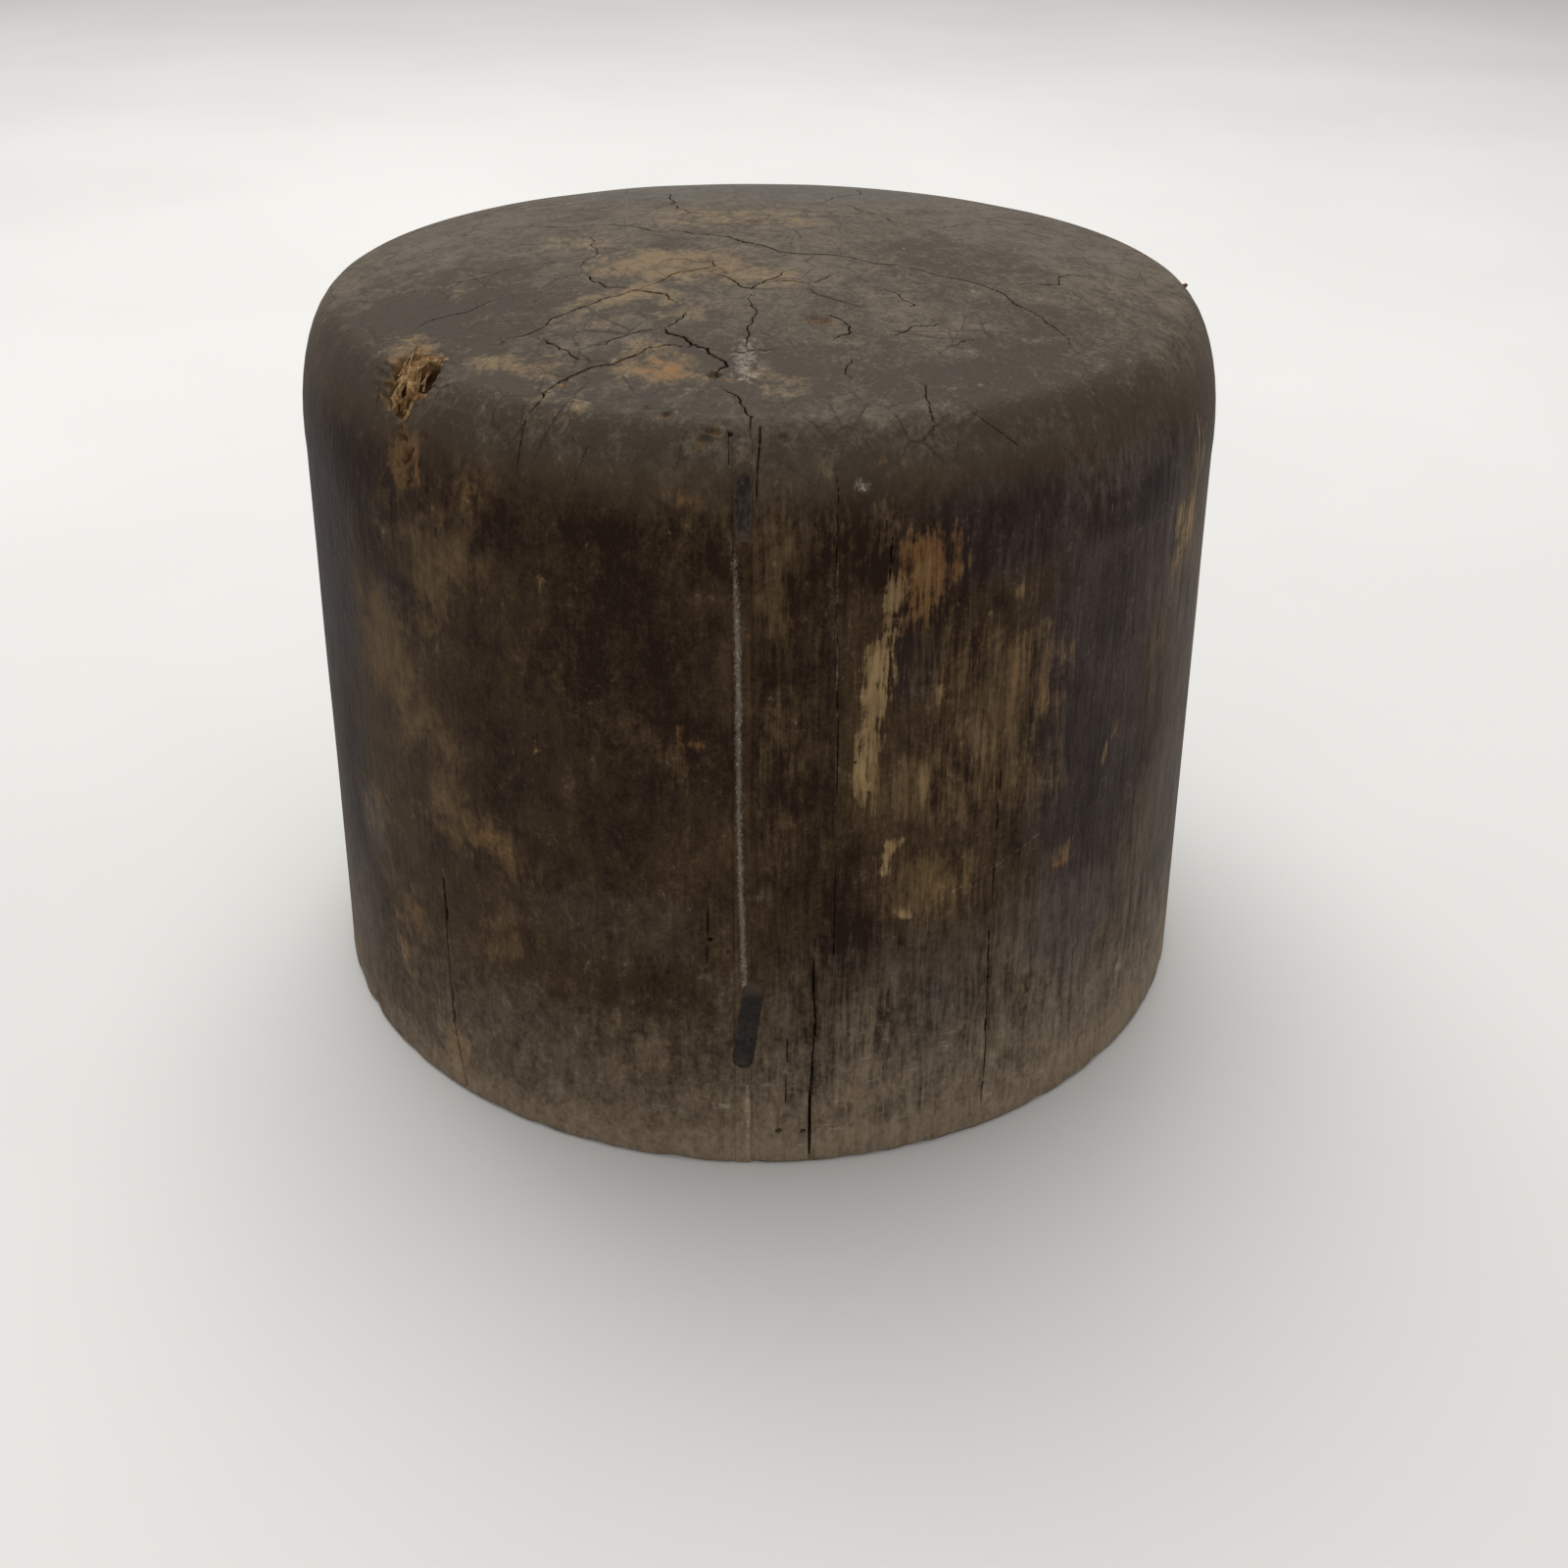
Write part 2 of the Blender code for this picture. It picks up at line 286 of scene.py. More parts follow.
def onCrown(x, y):
    # a point of the crown, millimetres to the right and to the back
    radius = math.hypot(x, y / ratio) * mm
    return np.array((x * mm, y * mm, float(profileHeight(min(radius, block["shoulderRadius"])))))


def onBase(angle, radius):
    turn = math.radians(angle)
    return np.array((radius * mm * math.sin(turn), -ratio * radius * mm * math.cos(turn), 0.0))


# checks in the crown: half width, depth, then the corners they run through
crownChecks = [
    (0.16, 0.8, [(-55, 17), (-25, 8), (-10, -0.2), (20.3, -14.6), (46.5, -30.1), (53.8, -44)]),
    (0.15, 0.8, [(-41.2, -48.7), (-29.4, -36.5), (-20.5, -29.3), (-14.5, -31.2), (-12.4, -35.2)]),
    (0.14, 0.6, [(-29.6, -20.5), (-27.6, -24.5), (-21.5, -28.4)]),
    (0.15, 0.7, [(-19.5, -29.3), (-9.7, -20.2), (-6.7, -18.1)]),
    (0.09, 0.4, [(-17.7, -17.3), (-14.8, -14.3), (-7.7, -16.1), (-5.6, -21.1)]),
    (0.14, 0.7, [(-7.6, -22.1), (-3.5, -26.1), (-0.5, -29), (3.4, -23.9), (6.3, -19.9)]),
    (0.10, 0.5, [(-0.5, -31), (0.7, -38), (-0.2, -46), (-1.1, -52)]),
    (0.11, 0.5, [(2.5, -26), (8.5, -25.8), (14.3, -19.7)]),
    (0.11, 0.4, [(8.5, -27.8), (13.6, -32.7), (18.6, -35.7)]),
    (0.11, 0.4, [(20.5, -25.6), (26.6, -32.5), (25.6, -33.5)]),
    (0.11, 0.4, [(21.8, -44.6), (26.7, -40.5), (31.7, -38.4)]),
    (0.14, 0.7, [(10.7, -38.8), (14.7, -40.7), (15.8, -44.7), (12.8, -47.8)]),
    (0.12, 0.6, [(-34.2, -45.6), (-28.1, -51.5), (-24, -55.4)]),
    (0.15, 0.8, [(-34.8, -68.7), (-29, -61.4), (-23, -56.4), (-16.1, -51.2), (-9.1, -51.1)]),
    (0.19, 1.0, [(-14.2, -44.2), (-13.2, -46.2), (-9.1, -50.1), (-5.1, -54.1), (-3, -57), (-4.9, -61.1)]),
    (0.12, 0.6, [(-14.2, -44.2), (-11.3, -41.2), (-10.3, -38.2)]),
    (0.09, 0.4, [(-27.1, -50.4), (-19.2, -46.3), (-14.2, -44.2)]),
    (0.09, 0.4, [(-4.1, -53), (4.9, -50.9)]),
    (0.12, 0.6, [(-3.9, -63), (-0.9, -66), (1.2, -71.1), (1.3, -74.2)]),
    (0.09, 0.4, [(26, -58.5), (27.1, -63.1), (28.2, -70.7)]),
    (0.08, 0.4, [(15.9, -52.7), (16, -59.7)]),
    (0.11, 0.5, [(44.3, -19.2), (52.3, -15), (53.2, -10), (62.1, -5.8)]),
    (0.09, 0.4, [(53.3, -16), (57.4, -21.9)]),
    (0.07, 0.3, [(33, 12), (40, 22)]),
    (0.08, 0.3, [(-59.7, -21), (-47.7, -17.8), (-39.8, -12.7), (-26.8, -9.5)]),
    (0.10, 0.4, [(-56.3, -38.9), (-49.4, -33.8), (-41.5, -28.7)]),
    (0.09, 0.4, [(-33.1, 3.4), (-28.9, -8.5), (-29.7, -19.5)]),
    (0.08, 0.3, [(30.8, -47.4), (36.8, -43.3)]),
    (0.12, 0.6, [(-34, 60), (-20, 41), (-17, 22), (-4, 9)]),  # towards the back
    (0.11, 0.5, [(14, 66), (19, 48), (12, 33), (24, 15), (33, 12)]),
    (0.10, 0.4, [(58, 34), (44, 26), (40, 22)]),
]

# checks down the wall: half width, depth, then the corners, in degrees and millimetres up
wallChecks = [
    (0.26, 1.8, [(7.8, 0), (7.7, 14), (7.9, 25)]),
    (0.15, 0.9, [(7.9, 25), (8.2, 34), (7.9, 40), (8.0, 51.5)]),
    (0.07, 0.3, [(10.1, 48), (10.0, 78), (9.9, 103), (9.6, 122), (9.9, 131), (9.4, 137)]),
    (0.10, 0.5, [(29.4, 80), (29.2, 66), (29.0, 47)]),
    (0.11, 0.5, [(29.0, 47), (29.3, 22), (29.2, 0)]),
    (0.14, 0.9, [(-38.0, 50), (-38.2, 31), (-38.1, 17), (-36.6, 3), (-36.4, 0)]),
    (0.10, 0.5, [(15.4, 124), (15.2, 117)]),
    (0.14, 0.6, [(1.9, 139.5), (1.6, 134.3), (1.5, 129.0)]),
    (0.10, 0.4, [(-1.5, 139.0), (-1.3, 134.0)]),
    (0.06, 0.25, [(26, 139.5), (31, 134)]),
    (0.06, 0.25, [(-24.4, 139.5), (-24.3, 126)]),
    (0.06, 0.25, [(-16.5, 136), (-18.5, 127)]),
    (0.09, 0.4, [(-3.8, 58), (-4.1, 44)]),
    (0.08, 0.4, [(5.0, 30), (4.8, 12)]),
    (0.25, 1.3, [(128, 0), (129, 32), (128, 71)]),  # the back
    (0.20, 1.0, [(171, 112), (170, 61), (171, 18)]),
    (0.25, 1.3, [(-112, 0), (-113, 24), (-112, 52)]),
    (0.15, 0.7, [(-146, 130), (-147, 84)]),
    (0.15, 0.7, [(84, 96), (84, 55)]),
]

baseChecks = [
    (0.26, 1.8, [(7.9, 92.5), (10, 70), (6, 52)]),
    (0.25, 1.5, [(-37.4, 92.5), (-35, 74)]),
    (0.20, 1.5, [(30.6, 92.5), (34, 66)]),
    (0.30, 2.0, [(128, 92.5), (124, 68), (129, 45)]),
    (0.30, 2.0, [(-112, 92.5), (-108, 66)]),
    (0.20, 1.2, [(178, 84), (170, 55)]),
    (0.20, 1.2, [(70, 78), (64, 48)]),
    (0.20, 1.2, [(-72, 80), (-77, 50)]),
]


def wanderingPath(corners, wander):
    # breaks each leg in two, three times, and pushes the middles aside
    points = [np.array(corner, float) for corner in corners]
    for level in range(3):
        longer = [points[0]]
        for start, end in zip(points, points[1:]):
            step = end - start
            push = chance.uniform(-wander, wander)
            longer += [(start + end) / 2 + np.array((-step[1], step[0])) * push, end]
        points = longer
    return points


def surfaceChecks():
    checks = []
    for width, depth, corners in crownChecks:
        path = [onCrown(*corner) for corner in wanderingPath(corners, 0.16)]
        checks.append((width * mm, depth * mm, np.array(path), True))
    for width, depth, corners in wallChecks:
        path = [onWall(*corner) for corner in wanderingPath(corners, 0.006)]
        checks.append((width * mm, depth * mm, np.array(path), False))
    for width, depth, corners in baseChecks:
        path = [onBase(*corner) for corner in wanderingPath(corners, 0.05)]
        checks.append((width * mm, depth * mm, np.array(path), False))
    return checks


def reachOf(points, path, limit):
    # how far each point is from a path, and how far along the path its nearest place is, from 0 to 1
    distance = np.full(len(points), limit)
    along = np.zeros(len(points))
    near = np.all((points > path.min(0) - limit) & (points < path.max(0) + limit), axis=1)
    chosen = points[near]
    if not len(chosen):
        return distance, along
    best, where = np.full(len(chosen), limit), np.zeros(len(chosen))
    legs = len(path) - 1
    for number, (start, end) in enumerate(zip(path, path[1:])):
        step = end - start
        t = np.clip((chosen - start) @ step / max(step @ step, 1e-18), 0, 1)
        away = np.linalg.norm(chosen - start - t[:, None] * step, axis=1)
        closer = away < best
        best[closer] = away[closer]
        where[closer] = (number + t[closer]) / legs
    distance[near], along[near] = best, where
    return distance, along


checks = surfaceChecks()

smallPit = 0.7  # below this radius a pit is a clean round hole
fineCheck = 0.2 * mm  # below this half width a check needs the finest faces

# holes and chips: place, radius, depth, how much rust-brown shows
pits = [
    (onWall(4.1, 8.3), 0.60, 2.2, 0.0),  # the tack holes
    (onWall(6.9, 8.0), 0.52, 2.0, 0.0),
    (onWall(-3.6, 51.6), 0.42, 1.0, 0.0),
    (onWall(-1.6, 49.1), 0.36, 0.7, 0.3),
    (onWall(12.0, 86), 0.28, 0.5, 0.0),
    (onWall(-4.0, 137.9), 1.3, 0.5, 0.6),
    (onWall(-3.0, 138.9), 0.9, 0.6, 0.6),
    (onWall(-4.9, 136.6), 0.8, 0.5, 0.6),
    (onWall(-1.3, 138.8), 0.45, 1.2, 0.3),
    (onWall(4.3, 138.4), 0.7, 0.4, 0.5),
    (onWall(-57, 3), 2.4, 0.8, 0.3),
    (onWall(-39.6, 129), 1.5, 0.6, 0.9),
    (onWall(-40.4, 131.6), 1.1, 0.6, 0.9),
    (onWall(-37.2, 132.6), 0.7, 0.4, 0.8),
    (onWall(-39.2, 125.2), 0.7, 0.3, 0.8),
    (onCrown(-11.2, -70.4), 1.0, 0.6, 0.7),
    (onCrown(-14.4, -68.8), 0.7, 0.4, 0.6),
    (onCrown(-4.9, -59.6), 1.1, 0.7, 0.5),
    (onCrown(10.7, -40.8), 1.8, 0.35, 0.7),
    (onWall(38, 5), 0.8, 0.5, 0.2),
    (onWall(58, 7), 0.9, 0.4, 0.2),
    (onWall(150, 96), 0.6, 0.8, 0.0),
    (onWall(-130, 9), 0.6, 2.0, 0.0),
    (onWall(-126, 8), 0.6, 2.0, 0.0),
]

# patches of the wall, worn and stained, with painted shade among the dark ones and dust with painted sheen
# in the grey ones:
# degrees and millimetres up, half width in degrees, half height, strength, and the lean in degrees of those
# that lean
wallPatches = {
    "bare": [
        (14.0, 100.5, 2.3, 8.0, 1.0), (13.4, 85, 2.1, 11, 0.8), (14.2, 92, 2.0, 5, 0.8),
        (15.9, 111.5, 1.5, 7.5, 0.74, 5), (15.6, 66, 1.8, 4.5, 0.85, 10), (19.5, 119, 2.8, 5, 0.5),
        (8.6, 134.5, 1.9, 2.0, 0.62), (14.9, 134.4, 3.0, 1.6, 0.8, -4),
        (24.3, 46.6, 1.9, 0.9, 0.62, -34), (28.9, 42, 1.2, 1.4, 0.5), (30.9, 33, 1.5, 2.2, 0.45),
        (46.3, 77, 1.0, 6.5, 0.7, -8), (31.2, 113, 1.0, 2.0, 0.6, -30), (24.6, 131, 0.35, 3.6, 0.62, 4),
        (26.6, 130.5, 0.35, 3.0, 0.62), (27.5, 120.6, 0.5, 2.6, 0.6), (33, 120, 0.3, 5, 0.5),
        (26.4, 108, 0.7, 3.0, 0.62, -16), (24.2, 101, 0.9, 3.6, 0.66, -14), (21.2, 99, 0.7, 1.6, 0.66),
        (22.4, 95.5, 2.6, 1.0, 0.62, 12), (20.0, 80, 2.2, 6, 0.52, -10), (25, 83, 3.5, 4.0, 0.5, -24),
        (28, 77, 1.4, 3.0, 0.5), (20.6, 62.5, 3.4, 1.1, 0.6, -28), (22.8, 58.6, 3.2, 1.0, 0.62, -32),
        (18.2, 55.0, 1.6, 1.8, 0.7, -30), (16.6, 70, 1.9, 2.2, 0.62), (-27.6, 92.5, 1.0, 3.1, 0.66, 6),
        (-23.4, 84.8, 1.2, 2.9, 0.56, 16), (-23.7, 114, 0.7, 3.2, 0.56), (-21.4, 116, 0.5, 2.2, 0.52),
        (-26.2, 113, 0.6, 1.6, 0.45), (-30.5, 100, 1.6, 1.2, 0.4), (62, 110, 5.0, 8.0, 0.85, 25),
        (66, 122, 5.0, 8.0, 0.6), (52.5, 90.4, 1.6, 1.6, 0.5, -40), (0.55, 13.5, 0.55, 4.6, 0.85),
        (-0.1, 135.2, 0.9, 3.6, 0.75), (104, 84, 6, 14, 0.7), (141, 104, 4, 12, 0.85),
        (-98, 66, 7, 6, 0.6, 12), (-128, 101, 3, 12, 0.8), (178, 72, 8, 16, 0.6), (-160, 48, 3, 9, 0.75),
        (120, 40, 3, 7, 0.6, 10), (-82, 108, 5, 6, 0.6),
    ],
    "ochre": [
        (-46, 93, 6.0, 12, 0.82, 8), (-40.5, 80, 5.0, 7, 0.6), (-34, 116, 7.0, 8, 0.7, 20),
        (-30, 127, 4.5, 6, 0.62), (-38.5, 104, 6, 6, 0.66, 30), (-35.6, 74, 2.4, 9, 0.74),
        (-33, 64, 8.5, 6.5, 0.84, -6), (-27, 59, 5, 4, 0.7), (-45, 33, 4.0, 17, 0.7, -5),
        (-40.5, 128.5, 3.4, 6, 0.95), (-53, 53, 6, 9, 0.5), (-29, 43, 4.0, 6, 0.55),
        (-22, 101, 5, 9, 0.3), (-38.4, 10, 3.0, 9, 0.8, -6), (-11, 90, 9, 8, 0.4, -30),
        (-45, 118, 4.5, 8, 0.55), (19, 108, 3.2, 13, 0.62), (25, 98, 6.0, 14, 0.48),
        (33, 93, 6.0, 14, 0.56), (23, 80, 8, 9, 0.66), (21, 60, 5.5, 8, 0.86, -10), (34, 76, 6, 9, 0.6),
        (39, 58, 2.2, 3.0, 0.72), (30, 38, 3.4, 8, 0.55), (13.5, 31, 4.4, 11, 0.6),
        (36, 30, 4.4, 6, 0.56), (-5, 128, 5.0, 9, 0.44), (3.5, 120, 3.0, 17, 0.55),
        (4.0, 85, 3.0, 24, 0.4), (12, 126, 5, 6, 0.44), (-12, 26, 9, 9, 0.35), (104, 84, 12, 24, 0.6),
        (141, 96, 9, 22, 0.75), (-98, 66, 14, 16, 0.7, 12), (-128, 96, 8, 20, 0.7),
        (178, 72, 16, 26, 0.6), (-160, 48, 9, 16, 0.7), (120, 40, 9, 14, 0.6, 10),
        (-82, 108, 9, 12, 0.6), (78, 84, 8, 10, 0.5), (160, 118, 10, 9, 0.5),
    ],
    "orange": [
        (20.0, 119.5, 4.0, 6.5, 0.95, 4), (18.2, 112, 2.2, 6, 0.7), (-5.6, 90.2, 1.2, 3.8, 1.0, 34),
        (-5.6, 129.6, 1.1, 3.6, 0.85), (-40.2, 128.6, 3.2, 5.5, 0.85), (14.9, 134.6, 3.0, 1.6, 0.7),
        (39, 56.5, 1.6, 2.4, 0.75), (46.6, 80, 1.2, 4, 0.55), (21, 99.5, 1.0, 1.6, 0.8),
        (-37.6, 8, 2.8, 8, 0.85, -4), (-45.5, 35, 3.4, 15, 0.55, -5), (-31, 62, 4.5, 4.0, 0.62),
        (34, 96, 5.0, 13, 0.36), (22, 60, 4, 6, 0.5), (61, 106, 5, 6, 0.6), (11.5, 3.5, 5.0, 3.6, 0.75),
        (0.5, 3.0, 3.5, 2.8, 0.45), (-30, 128, 3, 5, 0.4), (12.5, 15, 2.4, 4, 0.6),
        (141, 108, 4, 9, 0.7), (-98, 62, 6, 8, 0.6), (112, 96, 7, 15, 0.4), (160, 44, 6, 12, 0.5),
    ],
    "dark": [
        (-15, 106, 10, 18, 0.95), (-16, 80, 14, 24, 0.5), (6, 84, 5.5, 32, 0.75),
        (-44.5, 130.5, 3.2, 3.4, 1.0), (-42, 103.5, 3.6, 5.5, 0.9), (-48, 112, 4, 9, 0.7),
        (-29, 105, 4, 8, 0.5), (11.3, 60, 3.4, 13, 0.95), (18.2, 104.5, 3.0, 8.5, 0.9, -4),
        (-27, 79, 4, 12, 0.5), (7.5, 116, 3.0, 9, 0.5), (-18, 127, 3, 7, 0.6),
        # the tall patch at -66 degrees on this line is painted shade of the left side
        (-24.5, 126, 1.3, 9, 0.55), (22, 30, 4.5, 12, 0.55), (-66, 84, 12, 60, 0.9),
        (96, 110, 16, 24, 0.7), (134, 62, 14, 24, 0.8), (-120, 76, 14, 20, 0.7),
        (-170, 112, 16, 16, 0.8),
    ],
    "plum": [
        (43, 86, 11, 44, 1.0), (30, 124, 14, 12, 0.8), (41, 42, 6.5, 20, 0.85), (50, 114, 12, 22, 0.8),
        (18.4, 104, 3.6, 9, 0.8), (-60, 104, 9, 30, 0.8), (22, 30, 5, 10, 0.5), (9.5, 131, 8, 6, 0.5),
        (-43, 104, 4.0, 6.0, 0.6), (89, 60, 18, 30, 0.5), (154, 84, 12, 26, 0.6),
        (-140, 50, 14, 18, 0.5),
    ],
    # grey on the right, the far sides and low down: dust with painted sheen of grazing light
    "haze": [
        (34, 32, 38, 24, 0.6), (64, 42, 13, 34, 0.62), (70, 92, 17, 40, 0.52, 8), (-64, 26, 12, 22, 0.5),
        (-53, 52, 3.5, 8, 0.6), (-20, 20, 30, 16, 0.45), (36, 22, 22, 16, 0.55), (3, 26, 10, 16, 0.4),
        (45, 128, 12, 6, 0.5), (-14, 52, 14, 10, 0.35), (14, 32, 4, 10, 0.5), (37, 30, 4, 6, 0.55),
        (120, 20, 60, 16, 0.5), (-120, 20, 60, 16, 0.5), (180, 24, 20, 18, 0.5),
    ],
}

# the same on the crown, all in millimetres: to the right, to the back, half width, half depth
crownPatches = {
    "bare": [
        (-16, -56, 3.4, 3.0, 0.5, -30), (-9, -58.5, 4.0, 2.0, 0.4), (-36, -54, 5.0, 1.8, 0.4, -8),
        (-23, -30, 8, 1.3, 0.5, 18), (-53.5, -49, 2.2, 6, 0.75, 20),
    ],
    "ochre": [
        (-14, -56, 9, 7.5, 0.8, -30), (-8, -59, 7, 4, 0.7), (-36, -54, 10, 4.5, 0.72, -6),
        (-29, -57, 6, 4, 0.6), (-22, -31, 12, 5.0, 0.8, 18), (-15, -17, 17, 9, 0.95),
        (0, -24, 10, 6, 0.8), (-5, 13, 20, 10, 0.62), (-32, -2, 9, 7, 0.5), (-54, -47, 5, 9, 0.8, 20),
        (-11, -36, 7, 7, 0.5), (-27, -41, 9, 5, 0.42), (24, 42, 12, 9, 0.35), (-42, 36, 10, 8, 0.3),
        (-48, -25, 9, 8, 0.35), (6, -62, 12, 6, 0.4), (-30, -66, 9, 4, 0.5, -24),
    ],
    "orange": [
        (-12, -57, 5, 5.5, 0.55, -40), (-4, -62, 2.6, 3, 0.5), (10.7, -41, 2.6, 2.6, 0.35),
        (-53, -51, 5, 7, 0.5, 20), (-26, -61, 3, 3, 0.5),
    ],
    # the broad ones over the crown's front edge and front corners are painted shade of the front slope
    "dark": [
        (-20, -41, 9, 7, 0.5), (38, -6, 15, 13, 0.3), (-30, -46, 5, 5, 0.6), (-3, 44, 40, 10, 0.3),
        (24, -22, 10, 7, 0.3), (0, -70, 70, 30, 0.55), (-54, -38, 26, 24, 0.95, 30),
        (-26, -62, 24, 14, 0.8), (52, -48, 22, 18, 0.6, -30),
    ],
    "plum": [
        (38, -5, 15, 13, 0.35), (46, 28, 12, 14, 0.3), (44, -56, 18, 10, 0.5),
    ],
    # the broad grey at the back of the crown is painted sheen of grazing light over dust
    "haze": [
        (0, 52, 60, 26, 0.9), (52, 20, 26, 30, 0.5), (-54, 18, 22, 30, 0.5),
    ],
}

# pale dusty lines: half width, faintness, path in degrees and millimetres up
chalkLines = [
    (0.27, 0.0, [(-0.85, 124), (-0.45, 111), (-0.35, 94), (-0.35, 76), (-0.15, 60), (0.25, 41)]),
    (0.24, 0.3, [(0.5, 19), (0.55, 9), (0.5, 1)]),
    (0.10, 0.9, [(9.9, 131), (9.7, 120), (9.9, 103), (9.9, 78)]),
    (0.16, 0.9, [(18.0, 53.4), (23.7, 57.4), (29.9, 60.8), (35.3, 64.2)]),
    (0.10, 1.0, [(20, 47.8), (14, 48.6)]),
    (0.10, 1.0, [(17, 19.5), (25, 18.0)]),
    (0.12, 1.0, [(-29.1, 13.4), (-19.7, 11.2)]),
    (0.45, 0.0, [(12.2, 131.9), (12.5, 131.6)]),
    (0.60, 0.0, [(53.0, 20.6), (53.4, 20.0)]),
    (0.12, 1.0, [(43, 127), (43.4, 121)]),
    (0.12, 0.8, [(-27.6, 42.4), (-26.8, 40.6)]),
    (0.14, 0.9, [(-9.5, 63), (-8.2, 58.5)]),
    (0.12, 1.0, [(36, 84), (43, 93)]),
]

frontLine = {
    "halfWidth": 0.00155,  # of the strip
    "slotHalfWidth": 0.0010,  # where the slot's worn lips start
    "lip": 0.00060,
    "top": 0.1400,
    "recess": 0.00010,  # of the strip's face at mid height
    "shoulderRecess": 0.00075,
    "footRecess": 0.00018,
}
fills = {
    "upper": {
        "x": 0.0002,
        "z": 0.1294,
        "halfWidth": 0.00140,
        "halfLength": 0.0058,
        "lean": 0.0,
        "worn": 0.45,
    },
    "lower": {
        "x": 0.0009,
        "z": 0.0329,
        "halfWidth": 0.00205,
        "halfLength": 0.0098,
        "lean": math.radians(7),
        "worn": 0.0,
    },
}
fillRim = (-0.5 * mm, -0.12 * mm)  # where a fill's pocket goes down, from its outline
knot = {
    "centre": onWall(-42.7, 139.2),
    "radius": 0.0054,
    "depth": 0.0034,
    "sunk": 0.00375,
    "size": (0.98, 1.18, 0.62),  # across, up the slope and deep, for its radius
    "hollows": [  # place and radius for the plug's own, and the depth in millimetres
        (0.36, 0.20, 0.46, 2.6), (-0.16, -0.34, 0.20, 1.5),
        (-0.60, -0.30, 0.17, 1.2), (0.30, -0.55, 0.14, 0.9),
    ],
    "slivers": 26,
}


def lineRecess(height):
    # how far the strip's face lies under the wall, deepest where the line crosses the shoulder
    shoulder = smoothStep(0.108, 0.126, height)
    foot = 1 - smoothStep(0.004, 0.020, height)
    extra = shoulder * (frontLine["shoulderRecess"] - frontLine["recess"])
    return frontLine["recess"] + extra + foot * (frontLine["footRecess"] - frontLine["recess"])


def fillReach(points, fill):
    # distance outside a fill's round-ended outline, negative inside
    x, z = points[:, 0] - fill["x"], points[:, 2] - fill["z"]
    cos, sin = math.cos(fill["lean"]), math.sin(fill["lean"])
    across, up = x * cos - z * sin, x * sin + z * cos
    past = np.maximum(np.abs(up) - (fill["halfLength"] - fill["halfWidth"]), 0)
    reach = np.hypot(across, past) - fill["halfWidth"]
    return np.where(points[:, 1] < -0.05, reach, 1.0)


def lineReach(points):
    # distance outside the slot's width, large away from the front
    past = np.maximum(points[:, 2] - frontLine["top"], 0)
    reach = np.hypot(np.maximum(np.abs(points[:, 0]) - frontLine["slotHalfWidth"], 0), past)
    return np.where((points[:, 1] < -0.05) & (points[:, 2] > -mm), reach, 1.0)


def detailReach(points, finest):
    # how near each point is to anything that needs a finer mesh, or the finest
    reach = np.full(len(points), 1.0)
    for width, depth, path, wanders in checks:
        if not finest or width < fineCheck:
            reach = np.minimum(reach, reachOf(points, path, 4 * mm)[0])
    for place, radius, depth, rust in pits:
        if not finest or radius < smallPit:
            reach = np.minimum(reach, np.linalg.norm(points - place, axis=1) - radius * mm)
    for width, faintness, corners in chalkLines:
        path = np.array([onWall(*corner) for corner in corners])
        reach = np.minimum(reach, reachOf(points, path, 4 * mm)[0] + 0.35 * mm)
    for fill in fills.values():
        reach = np.minimum(reach, np.abs(fillReach(points, fill) + 0.2 * mm) - 0.2 * mm)
    if finest:
        return reach
    reach = np.minimum(reach, np.abs(lineReach(points) - 0.35 * mm) - 0.15 * mm)
    knotReach = np.linalg.norm(points - knot["centre"], axis=1)
    return np.minimum(reach, np.maximum(knotReach - knot["radius"] - 1.5 * mm, 0.0))


def blockOutline():
    # from the middle of the crown, over the shoulder, down the wall, and up inside the base
    rings = round(crownRadius / block["ringSpacing"])
    radii = [crownRadius * n / rings for n in range(rings)]
    outline = [(radius, float(profileHeight(radius))) for radius in radii]
    rings, power = block["cornerRings"], block["cornerPower"]
    for n in range(rings + 1):
        turn = math.pi / 2 * (1 - n / rings)
        across, up = math.cos(turn) ** (2 / power), math.sin(turn) ** (2 / power)
        radius = crownRadius + block["cornerReach"] * across
        outline.append((radius, shoulderHeight + block["cornerRise"] * up))
    rings = round(shoulderHeight / block["ringSpacing"])
    heights = [shoulderHeight * n / rings for n in range(rings - 1, 0, -1)]
    outline += [(float(profileRadius(height)), height) for height in heights]
    outline += [(block["footRadius"] - inwards * mm, up * mm) for inwards, up in block["footEdge"]]
    edge = outline[-1][0]
    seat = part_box("spindle_flange")[1].x + baseHollow["gap"]
    rings = block["baseRings"]
    outline += [(edge + (seat - edge) * n / rings, 0.0) for n in range(1, rings + 1)]
    hollow = baseHollow
    outline += [(seat, hollow["seatDepth"]), (hollow["hubRadius"], hollow["seatDepth"])]
    outline += [(hollow["hubRadius"], hollow["hubDepth"]), (hollow["socketRadius"], hollow["hubDepth"])]
    outline += [(hollow["socketRadius"], hollow["socketDepth"]), (0.0, hollow["socketDepth"])]
    return outline


